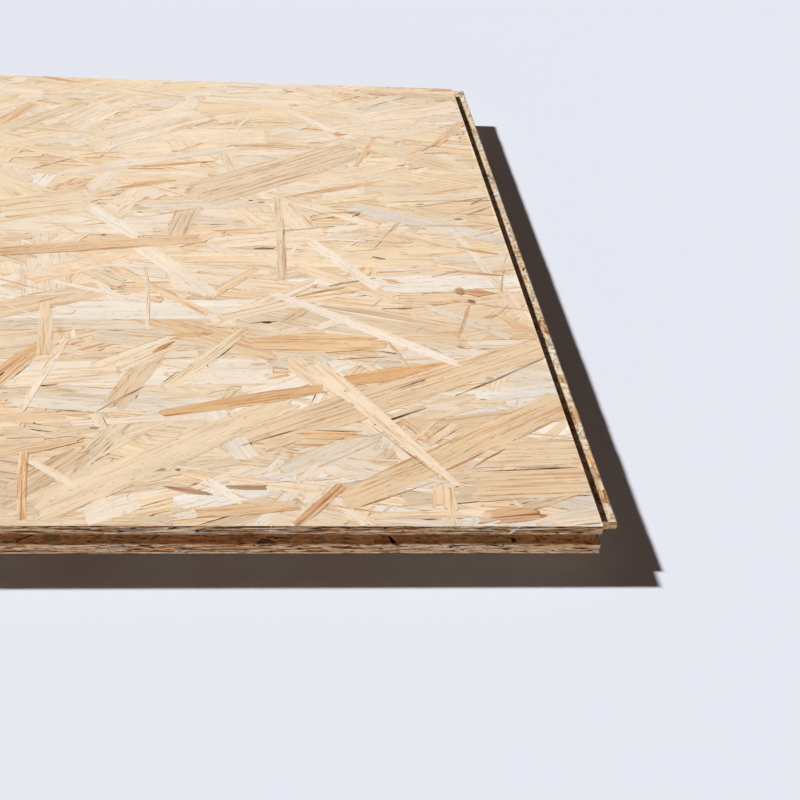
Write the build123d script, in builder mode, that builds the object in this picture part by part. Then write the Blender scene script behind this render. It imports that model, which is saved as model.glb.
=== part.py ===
from build123d import *
import os

# Driving dimensions of the board, millimetres
COVER_LENGTH = 2500.0  # length that one board covers, along the face strands
COVER_WIDTH = 625.0  # width that one board covers
THICKNESS = 18.0

# The tongue, which stands out of the far long edge and the right end. Its upper flank is
# parallel to the faces, so that joined boards come out level, and its lower flank tapers.
TONGUE_REACH = 11.5
TONGUE_TOP = 12.1  # upper flank above the bottom face
TONGUE_ROOT = 5.9  # thickness where it leaves the board
TONGUE_TIP = 4.8  # thickness at the nose, before it is rounded
NOSE_RADIUS = 1.2
ROOT_RADIUS = 0.5

# The groove, which runs in the near long edge and the left end. It is a little higher and
# deeper than the tongue that it takes.
GROOVE_DEPTH = 13.0
GROOVE_TOP = 12.3  # upper flank above the bottom face
GROOVE_MOUTH = 6.2  # height of the opening between the lips
GROOVE_FLOOR = 6.1  # height at the bottom of the groove
FLOOR_RADIUS = 0.8
MOUTH_EASE = 0.4  # small chamfer that leads the tongue in
ARRIS_EASE = 0.25  # worn corner between a face and an edge

# The board with its tongues is centred over the middle of its bottom face.
OVERALL_LENGTH = COVER_LENGTH + TONGUE_REACH
OVERALL_WIDTH = COVER_WIDTH + TONGUE_REACH


def milled_section(cover):
    """Draw the section that one pass of the cutters leaves: groove, slab and tongue."""
    groove_face = -(cover + TONGUE_REACH) / 2
    groove_floor = groove_face + GROOVE_DEPTH
    tongue_face = groove_face + cover
    tongue_nose = tongue_face + TONGUE_REACH
    with BuildSketch() as section:
        with BuildLine():
            Polyline(
                (groove_face, 0),
                (tongue_face, 0),
                (tongue_face, TONGUE_TOP - TONGUE_ROOT),
                (tongue_nose, TONGUE_TOP - TONGUE_TIP),
                (tongue_nose, TONGUE_TOP),
                (tongue_face, TONGUE_TOP),
                (tongue_face, THICKNESS),
                (groove_face, THICKNESS),
                (groove_face, GROOVE_TOP),
                (groove_floor, GROOVE_TOP),
                (groove_floor, GROOVE_TOP - GROOVE_FLOOR),
                (groove_face, GROOVE_TOP - GROOVE_MOUTH),
                close=True,
            )
        make_face()
        lip_edges, floor_edges, face_edges, nose_edges = section.vertices().group_by(Axis.X)
        lips = lip_edges.group_by(Axis.Y)
        root = face_edges.group_by(Axis.Y)
        fillet(nose_edges, NOSE_RADIUS)
        fillet(floor_edges, FLOOR_RADIUS)
        fillet(root[1] + root[2], ROOT_RADIUS)
        chamfer(lips[1] + lips[2], MOUTH_EASE)
        chamfer(lips[0] + lips[3] + root[0] + root[3], ARRIS_EASE)
    return section.sketch


edge_to_edge = milled_section(COVER_WIDTH)
end_to_end = milled_section(COVER_LENGTH)

# The long edges are milled along the board and the ends across it, and the board is what
# both passes leave. So the near groove cuts off the front of the end tongue, the left groove
# cuts off the left of the long tongue, and the two tongues meet in a square corner.
with BuildPart() as osb_panel:
    with BuildSketch(Plane.YZ.offset(-OVERALL_LENGTH / 2)):
        add(edge_to_edge)
    extrude(amount=OVERALL_LENGTH)
    with BuildSketch(Plane.XZ.offset(-OVERALL_WIDTH / 2)):
        add(end_to_end)
    extrude(amount=OVERALL_WIDTH, mode=Mode.INTERSECT)

os.makedirs("parts", exist_ok=True)
osb_panel.part.label = "osb_panel"
export_step(osb_panel.part, "parts/osb_panel.step")
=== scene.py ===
"""Looks of one oriented strand board panel with tongue and groove edges.

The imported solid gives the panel's place and size. This script lays the strands of both faces
over it, as one pressed layer whose visible patches are real facets with small steps between
them, and builds the milled edges from the cut ends and sides of the strands inside the panel.
"""

import logging
import math
from dataclasses import dataclass, field, replace
from enum import Enum
from typing import Optional, Sequence, Union

import bmesh
import bpy
import numpy as np
from mathutils import Matrix, Vector
from mathutils.geometry import delaunay_2d_cdt


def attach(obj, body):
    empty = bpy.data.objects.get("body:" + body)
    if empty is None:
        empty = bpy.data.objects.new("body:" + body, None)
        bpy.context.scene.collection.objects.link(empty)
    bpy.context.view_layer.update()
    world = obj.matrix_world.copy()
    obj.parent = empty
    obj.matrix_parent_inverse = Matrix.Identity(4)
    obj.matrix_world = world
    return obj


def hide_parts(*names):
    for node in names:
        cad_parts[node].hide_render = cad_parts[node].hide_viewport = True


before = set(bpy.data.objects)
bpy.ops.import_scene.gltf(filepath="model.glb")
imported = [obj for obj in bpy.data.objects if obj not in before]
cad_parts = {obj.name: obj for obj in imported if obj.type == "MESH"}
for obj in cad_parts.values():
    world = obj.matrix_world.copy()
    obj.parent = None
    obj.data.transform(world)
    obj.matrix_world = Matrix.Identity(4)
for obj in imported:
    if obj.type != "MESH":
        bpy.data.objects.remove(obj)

log = logging.getLogger("osb_panel")

MM = 0.001
NODE = "osb_panel"
BODY = "root"
BAKE_MAP = "OFBake"

Point = tuple[float, float]
Colour = tuple[float, float, float]
Span = tuple[float, float]


def linear(red: int, green: int, blue: int) -> Colour:
    """Turn a colour as it is seen on a screen, 0 to 255, into linear light.

    Args:
        red: Red channel.
        green: Green channel.
        blue: Blue channel.

    Returns:
        The three channels, 0 to 1.
    """
    shares = [channel / 255 for channel in (red, green, blue)]
    return tuple(s / 12.92 if s <= 0.04045 else ((s + 0.055) / 1.055) ** 2.4 for s in shares)


@dataclass(frozen=True)
class Board:
    """The panel's section, in millimetres, repeated from the solid's drawing."""

    cover_length: float = 2500.0
    cover_width: float = 625.0
    thickness: float = 18.0
    tongue_reach: float = 11.5
    tongue_top: float = 12.1
    tongue_root: float = 6.2
    tongue_tip: float = 7.3
    nose: float = 1.2
    groove_depth: float = 13.0
    groove_top: float = 12.3
    groove_low: float = 6.1
    groove_rise: float = 0.1
    floor_round: float = 0.8
    mouth_ease: float = 0.4

    @property
    def left(self) -> float:
        """X of the left end face, at the lips of its groove."""
        return -(self.cover_length + self.tongue_reach) / 2

    @property
    def near(self) -> float:
        """Y of the near long face, at the lips of its groove."""
        return -(self.cover_width + self.tongue_reach) / 2

    @property
    def right(self) -> float:
        """X of the right end face, without its tongue."""
        return self.left + self.cover_length

    @property
    def far(self) -> float:
        """Y of the far long face, without its tongue."""
        return self.near + self.cover_width

    def tongue(self) -> list[Point]:
        """Give the tongue from the face above it to the face below, as reach and height."""
        reach, nose, top, tip = self.tongue_reach, self.nose, self.tongue_top, self.tongue_tip
        bend = nose * (1 - math.sqrt(0.5))
        return [
            (0, self.groove_top), (0, top), (reach - nose, top), (reach - bend, top - bend),
            (reach, top - nose), (reach, tip + nose), (reach - bend, tip + bend * 0.8),
            (reach - nose, tip - 0.05), (0, self.tongue_root),
        ]

    def groove(self) -> list[Point]:
        """Give the groove from its upper lip to its lower lip, as depth and height."""
        depth, ease, turn = self.groove_depth, self.mouth_ease, self.floor_round
        top, low = self.groove_top, self.groove_low
        bend = turn * (1 - math.sqrt(0.5))
        steps = [z for _, z in self.tongue()[3:8]]
        return [
            (ease, top), (depth - turn, top), (depth - bend, top - bend),
            *[(depth, z) for z in steps],
            (depth - bend, low + self.groove_rise + bend),
            (depth - turn, low + self.groove_rise), (ease, low),
        ]

    def reach_at(self, height: np.ndarray) -> np.ndarray:
        """Say how far a tongue stands out at each height."""
        reach, z = np.array(self.tongue()).T
        return np.interp(height, z[::-1], reach[::-1], left=0, right=0)

    def depth_at(self, height: np.ndarray) -> np.ndarray:
        """Say how deep a groove is at each height inside its mouth, and 0 outside it."""
        depth, z = np.array(self.groove()[1:-1]).T
        inside = np.interp(height, z[::-1], depth[::-1])
        return np.where((height < self.groove_top + 0.01) & (height > self.groove_low), inside, 0)


BOARD = Board()


class Tone(Enum):
    """Colours of the board's strands, early wood and growth line, and painted shade of its gaps."""

    IVORY = (linear(253, 242, 227), linear(238, 214, 184))
    CREAM = (linear(250, 233, 210), linear(228, 190, 146))
    STRAW = (linear(248, 226, 194), linear(220, 176, 124))
    SAND = (linear(243, 217, 183), linear(210, 162, 116))
    TAN = (linear(240, 206, 165), linear(200, 144, 92))
    HONEY = (linear(240, 196, 145), linear(202, 132, 76))
    RUST = (linear(224, 180, 138), linear(164, 106, 62))
    ROSE = (linear(224, 184, 152), linear(166, 116, 86))
    BUFF = (linear(243, 226, 202), linear(216, 186, 152))
    UMBER = (linear(162, 118, 80), linear(104, 66, 40))
    # Not a wood tone: the painted shade inside gaps and slits
    SHADED_GAP = (linear(100, 66, 42), linear(58, 36, 22))

    @property
    def ground(self) -> Colour:
        """Colour of the early wood."""
        return self.value[0]

    @property
    def line(self) -> Colour:
        """Colour of the growth lines."""
        return self.value[1]


Palette = dict[Tone, float]


@dataclass(frozen=True)
class Cut:
    """What one kind of strand is like, in millimetres and degrees.

    Pairs are the lowest and highest that the kind comes in. Density is strands to a square
    metre, lean how far most of them turn, and stray the share that lies any way. Span is the
    distance between the points of a side, wave how far a side wanders as a share of the
    breadth, spread how far shades differ, and past how far beyond the surface's ends a strand
    may have its middle.
    """

    density: float
    length: Span
    breadth: Span
    level: Span
    tones: Palette
    lean: float = 16.0
    stray: float = 0.12
    pointed: Span = (0.0, 0.1)
    span: float = 45.0
    depth: Span = (0.0, 0.25)
    wave: float = 0.018
    lines: Span = (0.35, 1.0)
    spread: float = 0.04
    past: float = 0.0


@dataclass
class Strand:
    """One flat flake of wood, or a gap beside one, that shows in a surface.

    Lengths are in millimetres on the surface. Level 0 lies lowest in the order and 1 on top;
    depth is how far the flake's skin is sunk below the surface. Pitch is the distance between
    growth lines, or 0 for a random one. Narrow is the share of the breadth that the flake loses
    toward its end, and pointed the share that both its ends lose; past NEEDLE they are tips.
    The end of a flake that isn't THIN is torn into teeth, one more for each TOOTH of breadth.
    """

    BOW = 0.006
    TAPER = 0.16
    NEEDLE = 0.85
    THIN = 3.0
    TOOTH = 7.0
    TORN_BREADTH = 16.0
    SKEWED_BREADTH = 14.0

    centre: Point
    length: float
    breadth: float
    turn: float
    tone: Tone
    level: float
    seed: int
    depth: float = 0.0
    ragged: float = 0.5
    pointed: float = 0.0
    span: float = 45.0
    wave: float = 0.018
    lines: float = 0.7
    shade: float = 1.0
    pitch: float = 0.0
    narrow: float = 0.0
    outline: np.ndarray = field(default_factory=lambda: np.zeros((0, 2)))

    def __post_init__(self) -> None:
        """Draw the outline: two nearly straight sides and two torn ends."""
        rng = np.random.default_rng(self.seed)
        half, side = self.length / 2, self.breadth / 2
        steps = max(2, int(self.length / self.span) + 1)
        along = np.linspace(-1, 1, steps + 1)
        bow = rng.normal(0, self.BOW) * self.length
        taper = 1 - rng.uniform(0, self.TAPER) * along * rng.choice((-1, 1))
        taper = taper * (1 - self.narrow * (along + 1) / 2)
        girth = side * taper * (1 - self.pointed * np.abs(along) ** 1.6)
        ripple = np.clip(rng.normal(0, self.wave, (2, steps + 1)), -0.4, 0.4) * girth * 2
        middle = bow * (1 - along**2)
        upper = np.stack([along * half, middle + girth + ripple[0]], 1)
        lower = np.stack([along * half, middle - girth + ripple[1]], 1)[::-1]
        if self.pointed > self.NEEDLE:
            ring = np.concatenate([upper[1:-1], [[half, 0]], lower[1:-1], [[-half, 0]]])
        else:
            ring = np.concatenate([upper, self._end(rng, 1), lower, self._end(rng, -1)])
        self.outline = ring[::-1] @ self.axes + self.centre

    def _end(self, rng: np.random.Generator, sign: int) -> np.ndarray:
        """Give the points across one torn end, in the order of the outline.

        Args:
            rng: The flake's own random numbers.
            sign: 1 for the end the flake's direction points to, -1 for the other.

        Returns:
            Points along and across the flake.
        """
        side = self.breadth / 2 * (1 - self.pointed) * (1 - self.narrow * (sign > 0))
        teeth = 1 if self.breadth < self.THIN else 2 + int(self.breadth / self.TOOTH)
        reach = self.ragged * min(self.breadth, self.TORN_BREADTH) * 0.45
        skew = rng.normal(0, 0.4) * min(self.breadth, self.SKEWED_BREADTH)
        across = np.linspace(1, -1, teeth + 2)[1:-1] + rng.uniform(-0.4, 0.4, teeth) / (teeth + 1)
        out = rng.uniform(-1, 1, teeth) * reach + skew * across
        tip = np.stack([sign * (self.length / 2 + out), across * side], 1)
        return tip[::sign]

    @property
    def axes(self) -> np.ndarray:
        """Directions along and across the flake, as rows."""
        c, s = math.cos(self.turn), math.sin(self.turn)
        return np.array([[c, s], [-s, c]])


class Layup:
    """All the strands that show in one surface, and their numbers side by side.

    Depths are rounded to STEP, so that many neighbours need no wall between them. The other
    constants say how far colours, curls and growth lines differ from strand to strand, and how
    dark and how long the gaps beside a strand may be.
    """

    STEP = 0.06
    SEED_STRIDE = 100003
    WARMTH = 0.022
    WARMING = (1.0, 0.1, -1.2)
    BRIGHTEST = 0.96
    CURL = (0.15, 1.0)
    CURL_POWER = 1.5
    CALM_CURL = 0.4
    LOG_PITCH = (0.4, 1.8)
    SEEDS = 400
    GAP_SHADE = (0.6, 1.5)
    LONGEST_GAP = 0.8

    def __init__(self, low: Point, high: Point, seed: int, ground: Tone, sunk: float) -> None:
        """Start with a bed that fills the whole surface.

        Args:
            low: Lowest corner of the surface, in its own plane.
            high: Highest corner.
            seed: Start of the random numbers.
            ground: Tone of the wood seen between the strands.
            sunk: Depth of that wood.
        """
        self.low, self.high = low, high
        self.rng = np.random.default_rng(seed)
        self.seed = seed * self.SEED_STRIDE
        middle = ((low[0] + high[0]) / 2, (low[1] + high[1]) / 2)
        size = (high[0] - low[0] + 4, high[1] - low[1] + 4)
        bed = Strand(middle, *size, 0.0, ground, -1.0, self.seed, depth=sunk, ragged=0, wave=0)
        corners = [(-0.5, -0.5), (0.5, -0.5), (0.5, 0.5), (-0.5, 0.5)]
        bed.outline = np.array(corners) * size + middle
        self.strands = [bed]

    def add(self, strand: Strand) -> Strand:
        """Lay one strand and return it."""
        self.strands.append(strand)
        return strand

    def scatter(self, cut: Cut, toward: float = 0.0) -> list[Strand]:
        """Lay strands of one kind at random all over the surface.

        Args:
            cut: The kind.
            toward: Direction that most of them keep to, in degrees.

        Returns:
            The strands laid.
        """
        rng = self.rng
        area = (self.high[0] - self.low[0]) * (self.high[1] - self.low[1])
        count = int(cut.density * area * 1e-6)
        tones, shares = list(cut.tones), np.array(list(cut.tones.values()))
        picks = rng.choice(len(tones), count, p=shares / shares.sum())
        laid = []
        for pick in picks:
            turn = rng.normal(0, cut.lean)
            if rng.random() < cut.stray:
                turn = rng.uniform(-90, 90)
            length = math.exp(rng.uniform(*np.log(cut.length)))
            breadth = min(math.exp(rng.uniform(*np.log(cut.breadth))), length * 0.7)
            self.seed += 1
            laid.append(self.add(Strand(
                (rng.uniform(self.low[0] - cut.past, self.high[0] + cut.past),
                 rng.uniform(self.low[1], self.high[1])),
                length, breadth, math.radians(toward + turn), tones[pick],
                rng.uniform(*cut.level), self.seed, depth=rng.uniform(*cut.depth),
                pointed=rng.uniform(*cut.pointed), span=cut.span, wave=cut.wave,
                lines=rng.uniform(*cut.lines), shade=rng.normal(1, cut.spread))))
        return laid

    def line_up(self, cut: Cut, across: float) -> None:
        """Lay strands of one kind in a row, one after another with short breaks.

        Args:
            cut: The kind, whose density is the length of a break in mm.
            across: Where the row lies across the surface.
        """
        rng = self.rng
        tones = list(cut.tones)
        at = self.low[0]
        while at < self.high[0]:
            length = math.exp(rng.uniform(*np.log(cut.length)))
            self.seed += 1
            self.add(Strand(
                (at + length / 2, across + rng.normal(0, 0.12)), length,
                rng.uniform(*cut.breadth), math.radians(rng.normal(0, cut.lean)),
                tones[rng.integers(len(tones))], rng.uniform(*cut.level), self.seed,
                depth=rng.uniform(*cut.depth), pointed=rng.uniform(*cut.pointed),
                span=cut.span, wave=cut.wave, lines=rng.uniform(*cut.lines)))
            at += length + rng.exponential(cut.density)

    def open_gaps(self, hosts: Sequence[Strand], cut: Cut) -> None:
        """Leave dark slits along the sides of strands, where the next one doesn't close up. Their
        dark colour is painted shade inside the gap.

        Args:
            hosts: The strands beside which slits may open.
            cut: The slits, whose density is their number to each host.
        """
        rng = self.rng
        for host in hosts:
            for _ in range(rng.poisson(cut.density)):
                length = math.exp(rng.uniform(*np.log(cut.length)))
                length = min(length, host.length * self.LONGEST_GAP)
                breadth = math.exp(rng.uniform(*np.log(cut.breadth)))
                side = rng.choice((-1, 1)) * (host.breadth + breadth * 0.7) / 2
                slide = rng.uniform(-0.5, 0.5) * (host.length - length)
                centre = np.array([slide, side]) @ host.axes + host.centre
                self.seed += 1
                self.add(Strand(
                    tuple(centre), length, breadth, host.turn + rng.normal(0, 0.02), Tone.SHADED_GAP,
                    host.level + 1e-4, self.seed, depth=rng.uniform(*cut.depth), pointed=1.0,
                    span=cut.span, wave=cut.wave, lines=0.2,
                    shade=rng.uniform(*self.GAP_SHADE)))

    def table(self) -> dict[str, np.ndarray]:
        """Give the strands' numbers as arrays, one row a strand."""
        rng = np.random.default_rng(self.seed)
        all_ = self.strands
        count = len(all_)
        shade = np.array([s.shade for s in all_])[:, None]
        warm = 1 + rng.normal(0, self.WARMTH, (count, 1)) * np.array(self.WARMING)
        pitch = np.array([s.pitch for s in all_])
        curl = rng.uniform(*self.CURL, count) ** self.CURL_POWER
        ground = np.array([s.tone.ground for s in all_]) * shade * warm
        ground /= np.maximum(ground.max(1, keepdims=True) / self.BRIGHTEST, 1)
        return {
            "centre": np.array([s.centre for s in all_]),
            "turn": np.array([s.turn for s in all_]),
            "half": np.array([[s.length / 2, s.breadth / 2] for s in all_]),
            "level": np.array([s.level for s in all_]),
            "depth": np.round(np.array([s.depth for s in all_]) / self.STEP) * self.STEP,
            "ground": ground,
            "line": np.clip(np.array([s.tone.line for s in all_]) * shade * warm, 0, 1),
            "grain": np.stack([
                np.where(pitch > 0, pitch, np.exp(rng.uniform(*self.LOG_PITCH, count))),
                np.where(pitch > 0, curl * self.CALM_CURL, curl),
                np.array([s.lines for s in all_]),
            ], 1),
            "seed": rng.uniform(0, self.SEEDS, count),
        }


class Surface:
    """A stretch of the panel's skin, laid out flat. A point on it is (along, across) in mm."""

    flip = False
    cuts: tuple[Sequence[float], Sequence[float]] = ((), ())

    def place(self, flat: np.ndarray, depth: np.ndarray) -> np.ndarray:
        """Give the places in space of points on the surface.

        Args:
            flat: Points on the surface, one row each.
            depth: How far each is sunk below the surface, in mm.

        Returns:
            The places in mm, in the panel's frame.
        """
        raise NotImplementedError

    def fade(self, flat: np.ndarray) -> np.ndarray:
        """Say how much of the relief is left at each point, 0 at the rim and 1 inside."""
        return np.ones(len(flat))


@dataclass
class BroadFace(Surface):
    """The top or the bottom of the panel, x and y as they are in space."""

    top: bool
    rim_highlight: float = 1.5

    def __post_init__(self) -> None:
        """Set the lines beside the rim, where the relief starts."""
        self.flip = not self.top
        self.cuts = (
            (BOARD.left + self.rim_highlight, BOARD.right - self.rim_highlight),
            (BOARD.near + self.rim_highlight, BOARD.far - self.rim_highlight),
        )

    def place(self, flat: np.ndarray, depth: np.ndarray) -> np.ndarray:
        """Put points under the top or above the bottom."""
        z = BOARD.thickness - depth if self.top else depth
        return np.column_stack([flat, z])

    def fade(self, flat: np.ndarray) -> np.ndarray:
        """Let the relief run out at the arrises."""
        x, y = flat.T
        inset = np.minimum.reduce([
            x - BOARD.left, BOARD.right - x, y - BOARD.near, BOARD.far - y])
        return np.clip(inset / self.rim_highlight, 0, 1)


class Side(Enum):
    """The four edges: their length's direction, outward direction and whether they are grooved."""

    NEAR = ((1, 0), (0, -1), True)
    FAR = ((1, 0), (0, 1), False)
    LEFT = ((0, 1), (-1, 0), True)
    RIGHT = ((0, 1), (1, 0), False)

    @property
    def along(self) -> np.ndarray:
        """Direction along the edge."""
        return np.array(self.value[0], float)

    @property
    def outward(self) -> np.ndarray:
        """Direction out of the edge."""
        return np.array(self.value[1], float)

    @property
    def grooved(self) -> bool:
        """Whether the edge has the groove, not the tongue."""
        return self.value[2]

    @property
    def limits(self) -> Span:
        """Where the edge starts and ends, along its length."""
        if self.value[0] == (1, 0):
            return BOARD.left, BOARD.right
        return BOARD.near, BOARD.far

    @property
    def face(self) -> float:
        """Where the edge's face stands, along the outward direction."""
        faces = {"NEAR": -BOARD.near, "FAR": BOARD.far, "LEFT": -BOARD.left, "RIGHT": BOARD.right}
        return faces[self.name]


@dataclass
class EdgeBand(Surface):
    """One band of an edge: its upper face, its tongue or groove, or its lower face.

    The band is laid out flat along the edge and down the section. The lines of its section are
    outward reaches from the edge's face, less than 0 in a groove, with heights.
    """

    side: Side
    line: Sequence[Point]
    rim_highlight: float = 0.35
    stretch: float = 40.0

    def __post_init__(self) -> None:
        """Measure the band's section and set the lines where it bends."""
        self.section = np.array(self.line, float)
        steps = np.diff(self.section, axis=0)
        lengths = np.hypot(*steps.T)
        self.down = np.concatenate([[0], np.cumsum(lengths)])
        self.depth = float(self.down[-1])
        self.low, self.high = self.side.limits
        self.length = self.high - self.low
        normals = np.column_stack([-steps[:, 1], steps[:, 0]]) / lengths[:, None]
        joint = np.vstack([normals[:1], normals[:-1] + normals[1:], normals[-1:]])
        squared = (joint**2).sum(1, keepdims=True)
        self.normals = joint / np.where(squared > 0.5, squared / 2, 1)
        self.normals[[0, -1]] = normals[[0, -1]]
        clockwise = self.side in (Side.NEAR, Side.RIGHT)
        self.flip = clockwise
        inner = [d for d in self.down[1:-1] if self.rim_highlight < d < self.depth - self.rim_highlight]
        self.cuts = ((self.rim_highlight, self.length - self.rim_highlight),
                     (self.rim_highlight, *inner, self.depth - self.rim_highlight))

    def place(self, flat: np.ndarray, depth: np.ndarray) -> np.ndarray:
        """Fold the band round its section and mitre its ends with the neighbouring edges."""
        along, down = flat.T
        reach, z = (np.interp(down, self.down, part) for part in self.section.T)
        out, up = (np.interp(down, self.down, part) for part in self.normals.T)
        if self.side.grooved:
            start, end = np.maximum(-reach, 0), BOARD.reach_at(z)
            end = np.where(reach < -BOARD.groove_depth + 1, end, 0)
        else:
            start, end = BOARD.depth_at(z), np.maximum(reach, 0)
            start = np.where(self.section[0, 1] > BOARD.groove_top + 1, 0, start)
            start = np.where(self.section[-1, 1] < 1, 0, start)
        begun = np.clip(1 - along / self.stretch, 0, 1)
        done = np.clip(1 - (self.length - along) / self.stretch, 0, 1)
        run = self.low + along + start * begun + end * done
        out_at = self.side.face + reach - depth * out
        plan = run[:, None] * self.side.along + out_at[:, None] * self.side.outward
        return np.column_stack([plan, z - depth * up])

    def fade(self, flat: np.ndarray) -> np.ndarray:
        """Let the relief run out at the arrises and the ends."""
        along, down = flat.T
        inset = np.minimum.reduce([along, self.length - along, down, self.depth - down])
        return np.clip(inset / self.rim_highlight, 0, 1)


@dataclass
class Patchwork:
    """The visible patches of a surface's strands, found in small cells and then joined.

    Fine is the distance between the spots that tell which strands show in a cell.
    """

    ZONES = 64
    SNAP = 1e-4
    STRAIGHT = math.radians(0.4)

    surface: Surface
    layup: Layup
    cell: Point
    weld: float = 0.004
    fine: float = 1.6

    def __post_init__(self) -> None:
        """Keep the strands' numbers, and the boxes round their outlines."""
        self.table = self.layup.table()
        outlines = [s.outline for s in self.layup.strands]
        self.lows = np.array([o.min(0) for o in outlines])
        self.highs = np.array([o.max(0) for o in outlines])

    @staticmethod
    def _clip(ring: list[Point], axis: int, edge: float, sign: int) -> list[Point]:
        """Cut a ring of points off at a line.

        Args:
            ring: The points.
            axis: Which coordinate the line holds still, 0 or 1.
            edge: Where the line is.
            sign: 1 to keep what is above the line, -1 to keep what is below.

        Returns:
            The ring's kept part.
        """
        kept, last = [], ring[-1]
        last_in = (last[axis] - edge) * sign >= 0
        for point in ring:
            inside = (point[axis] - edge) * sign >= 0
            if inside != last_in:
                share = (edge - last[axis]) / (point[axis] - last[axis])
                cross = [last[0] + (point[0] - last[0]) * share,
                         last[1] + (point[1] - last[1]) * share]
                cross[axis] = edge
                kept.append(tuple(cross))
            if inside:
                kept.append(point)
            last, last_in = point, inside
        return kept

    @staticmethod
    def _covers(ring: np.ndarray, spots: np.ndarray) -> np.ndarray:
        """Say which spots lie inside a ring."""
        inside = np.zeros(len(spots), bool)
        x, y = spots.T
        for (x0, y0), (x1, y1) in zip(ring, np.roll(ring, -1, 0)):
            if y0 != y1:
                across = (y0 > y) != (y1 > y)
                inside ^= across & (x < (x1 - x0) * (y - y0) / (y1 - y0) + x0)
        return inside

    def _seen(self, low: np.ndarray, high: np.ndarray) -> list[int]:
        """List the strands that show in a cell, roughly, from the top one down."""
        near = np.flatnonzero(((self.lows < high) & (self.highs > low)).all(1))
        near = near[np.argsort(-self.table["level"][near], kind="stable")]
        grid = [np.arange(a + self.fine / 2, b, self.fine) for a, b in zip(low, high)]
        if min(len(g) for g in grid) < 4:
            return list(near)
        spots = np.stack(np.meshgrid(*grid), -1).reshape(-1, 2)
        bare = np.ones(len(spots), bool)
        seen = []
        for index in near:
            strand = self.layup.strands[index]
            if strand.breadth < self.fine * 1.5:
                seen.append(index)
                continue
            if not bare.any():
                break
            open_ = np.flatnonzero(bare)
            hit = open_[self._covers(strand.outline, spots[open_])]
            if len(hit):
                seen.append(index)
                bare[hit] = False
        return seen

    def _cell(self, low: np.ndarray, high: np.ndarray
              ) -> tuple[np.ndarray, list[Sequence[int]], list[int]]:
        """Cut the strands of one cell into triangles and keep the topmost at each.

        Args:
            low: The cell's lowest corner.
            high: Its highest corner.

        Returns:
            Points, triangles as point numbers, and the strand that each belongs to.
        """
        size = high - low
        points: list[Point] = []
        rings, owners, edges = [], [], []
        for index in self._seen(low, high):
            ring = [tuple(p) for p in self.layup.strands[index].outline - low]
            for axis in (0, 1):
                for edge, sign in ((0.0, 1), (float(size[axis]), -1)):
                    ring = self._clip(ring, axis, edge, sign) if ring else ring
            if len(ring) > 2:
                rings.append(list(range(len(points), len(points) + len(ring))))
                owners.append(index)
                points += ring
        for axis in (0, 1):
            for cut in self.surface.cuts[axis]:
                at = cut - low[axis]
                if 0 < at < size[axis]:
                    ends = [(at, 0.0), (at, size[1])] if axis == 0 else [(0.0, at), (size[0], at)]
                    edges.append((len(points), len(points) + 1))
                    points += ends
        corners = [Vector(p) for p in points]
        result = delaunay_2d_cdt(corners, edges, rings, 1, self.SNAP, True)
        flat = np.array([tuple(p) for p in result[0]]).reshape(-1, 2) + low
        ranks = self.table["level"][owners]
        lows, highs = self.lows[owners] - 0.01, self.highs[owners] + 0.01
        triangles, tops = [], []
        for triangle, inside in zip(result[2], result[5]):
            if inside:
                middle = flat[triangle].mean(0)
                held = [i for i in inside if (lows[i] < middle).all() and (middle < highs[i]).all()]
                triangles.append(triangle)
                tops.append(owners[max(held or inside, key=ranks.__getitem__)])
        return flat, triangles, tops

    def _zones(self, spots: np.ndarray) -> np.ndarray:
        """Number the zones that the surface's cuts part, at each spot."""
        codes = [np.searchsorted(c, spots[:, axis]) for axis, c in enumerate(self.surface.cuts)]
        return codes[0] * (len(self.surface.cuts[1]) + 1) + codes[1]

    def stretch(self, low: Point, high: Point) -> "Patches":
        """Find the patches over one rectangle of the surface.

        Args:
            low: Its lowest corner.
            high: Its highest corner.

        Returns:
            The patches.
        """
        low, high = np.array(low, float), np.array(high, float)
        counts = [max(1, round((high[a] - low[a]) / self.cell[a])) for a in (0, 1)]
        lines = [np.linspace(low[a], high[a], counts[a] + 1) for a in (0, 1)]
        flats, triangles, tops, base = [], [], [], 0
        for x0, x1 in zip(lines[0], lines[0][1:]):
            for y0, y1 in zip(lines[1], lines[1][1:]):
                flat, some, owner = self._cell(np.array([x0, y0]), np.array([x1, y1]))
                flats.append(flat)
                triangles += [[base + corner for corner in t] for t in some]
                tops += owner
                base += len(flat)
        flat = np.concatenate(flats)
        zones = self._zones(flat[np.array(triangles)].mean(1))
        keys = np.array(tops) * self.ZONES + zones
        mesh = bpy.data.meshes.new("flat")
        mesh.from_pydata(np.column_stack([flat - low, np.zeros(len(flat))]), [], triangles)
        mesh.attributes.new("key", "INT", "FACE").data.foreach_set("value", keys.astype(np.int32))
        bm = bmesh.new()
        bm.from_mesh(mesh)
        bpy.data.meshes.remove(mesh)
        bmesh.ops.remove_doubles(bm, verts=bm.verts, dist=self.weld)
        layer = bm.faces.layers.int["key"]
        for edge in bm.edges:
            faces = edge.link_faces
            edge.seam = len(faces) != 2 or faces[0][layer] != faces[1][layer]
        bmesh.ops.dissolve_limit(bm, angle_limit=self.STRAIGHT, verts=bm.verts,
                                 edges=bm.edges, delimit={"SEAM"})
        patches = Patches.read(self, bm, low)
        bm.free()
        return patches


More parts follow.
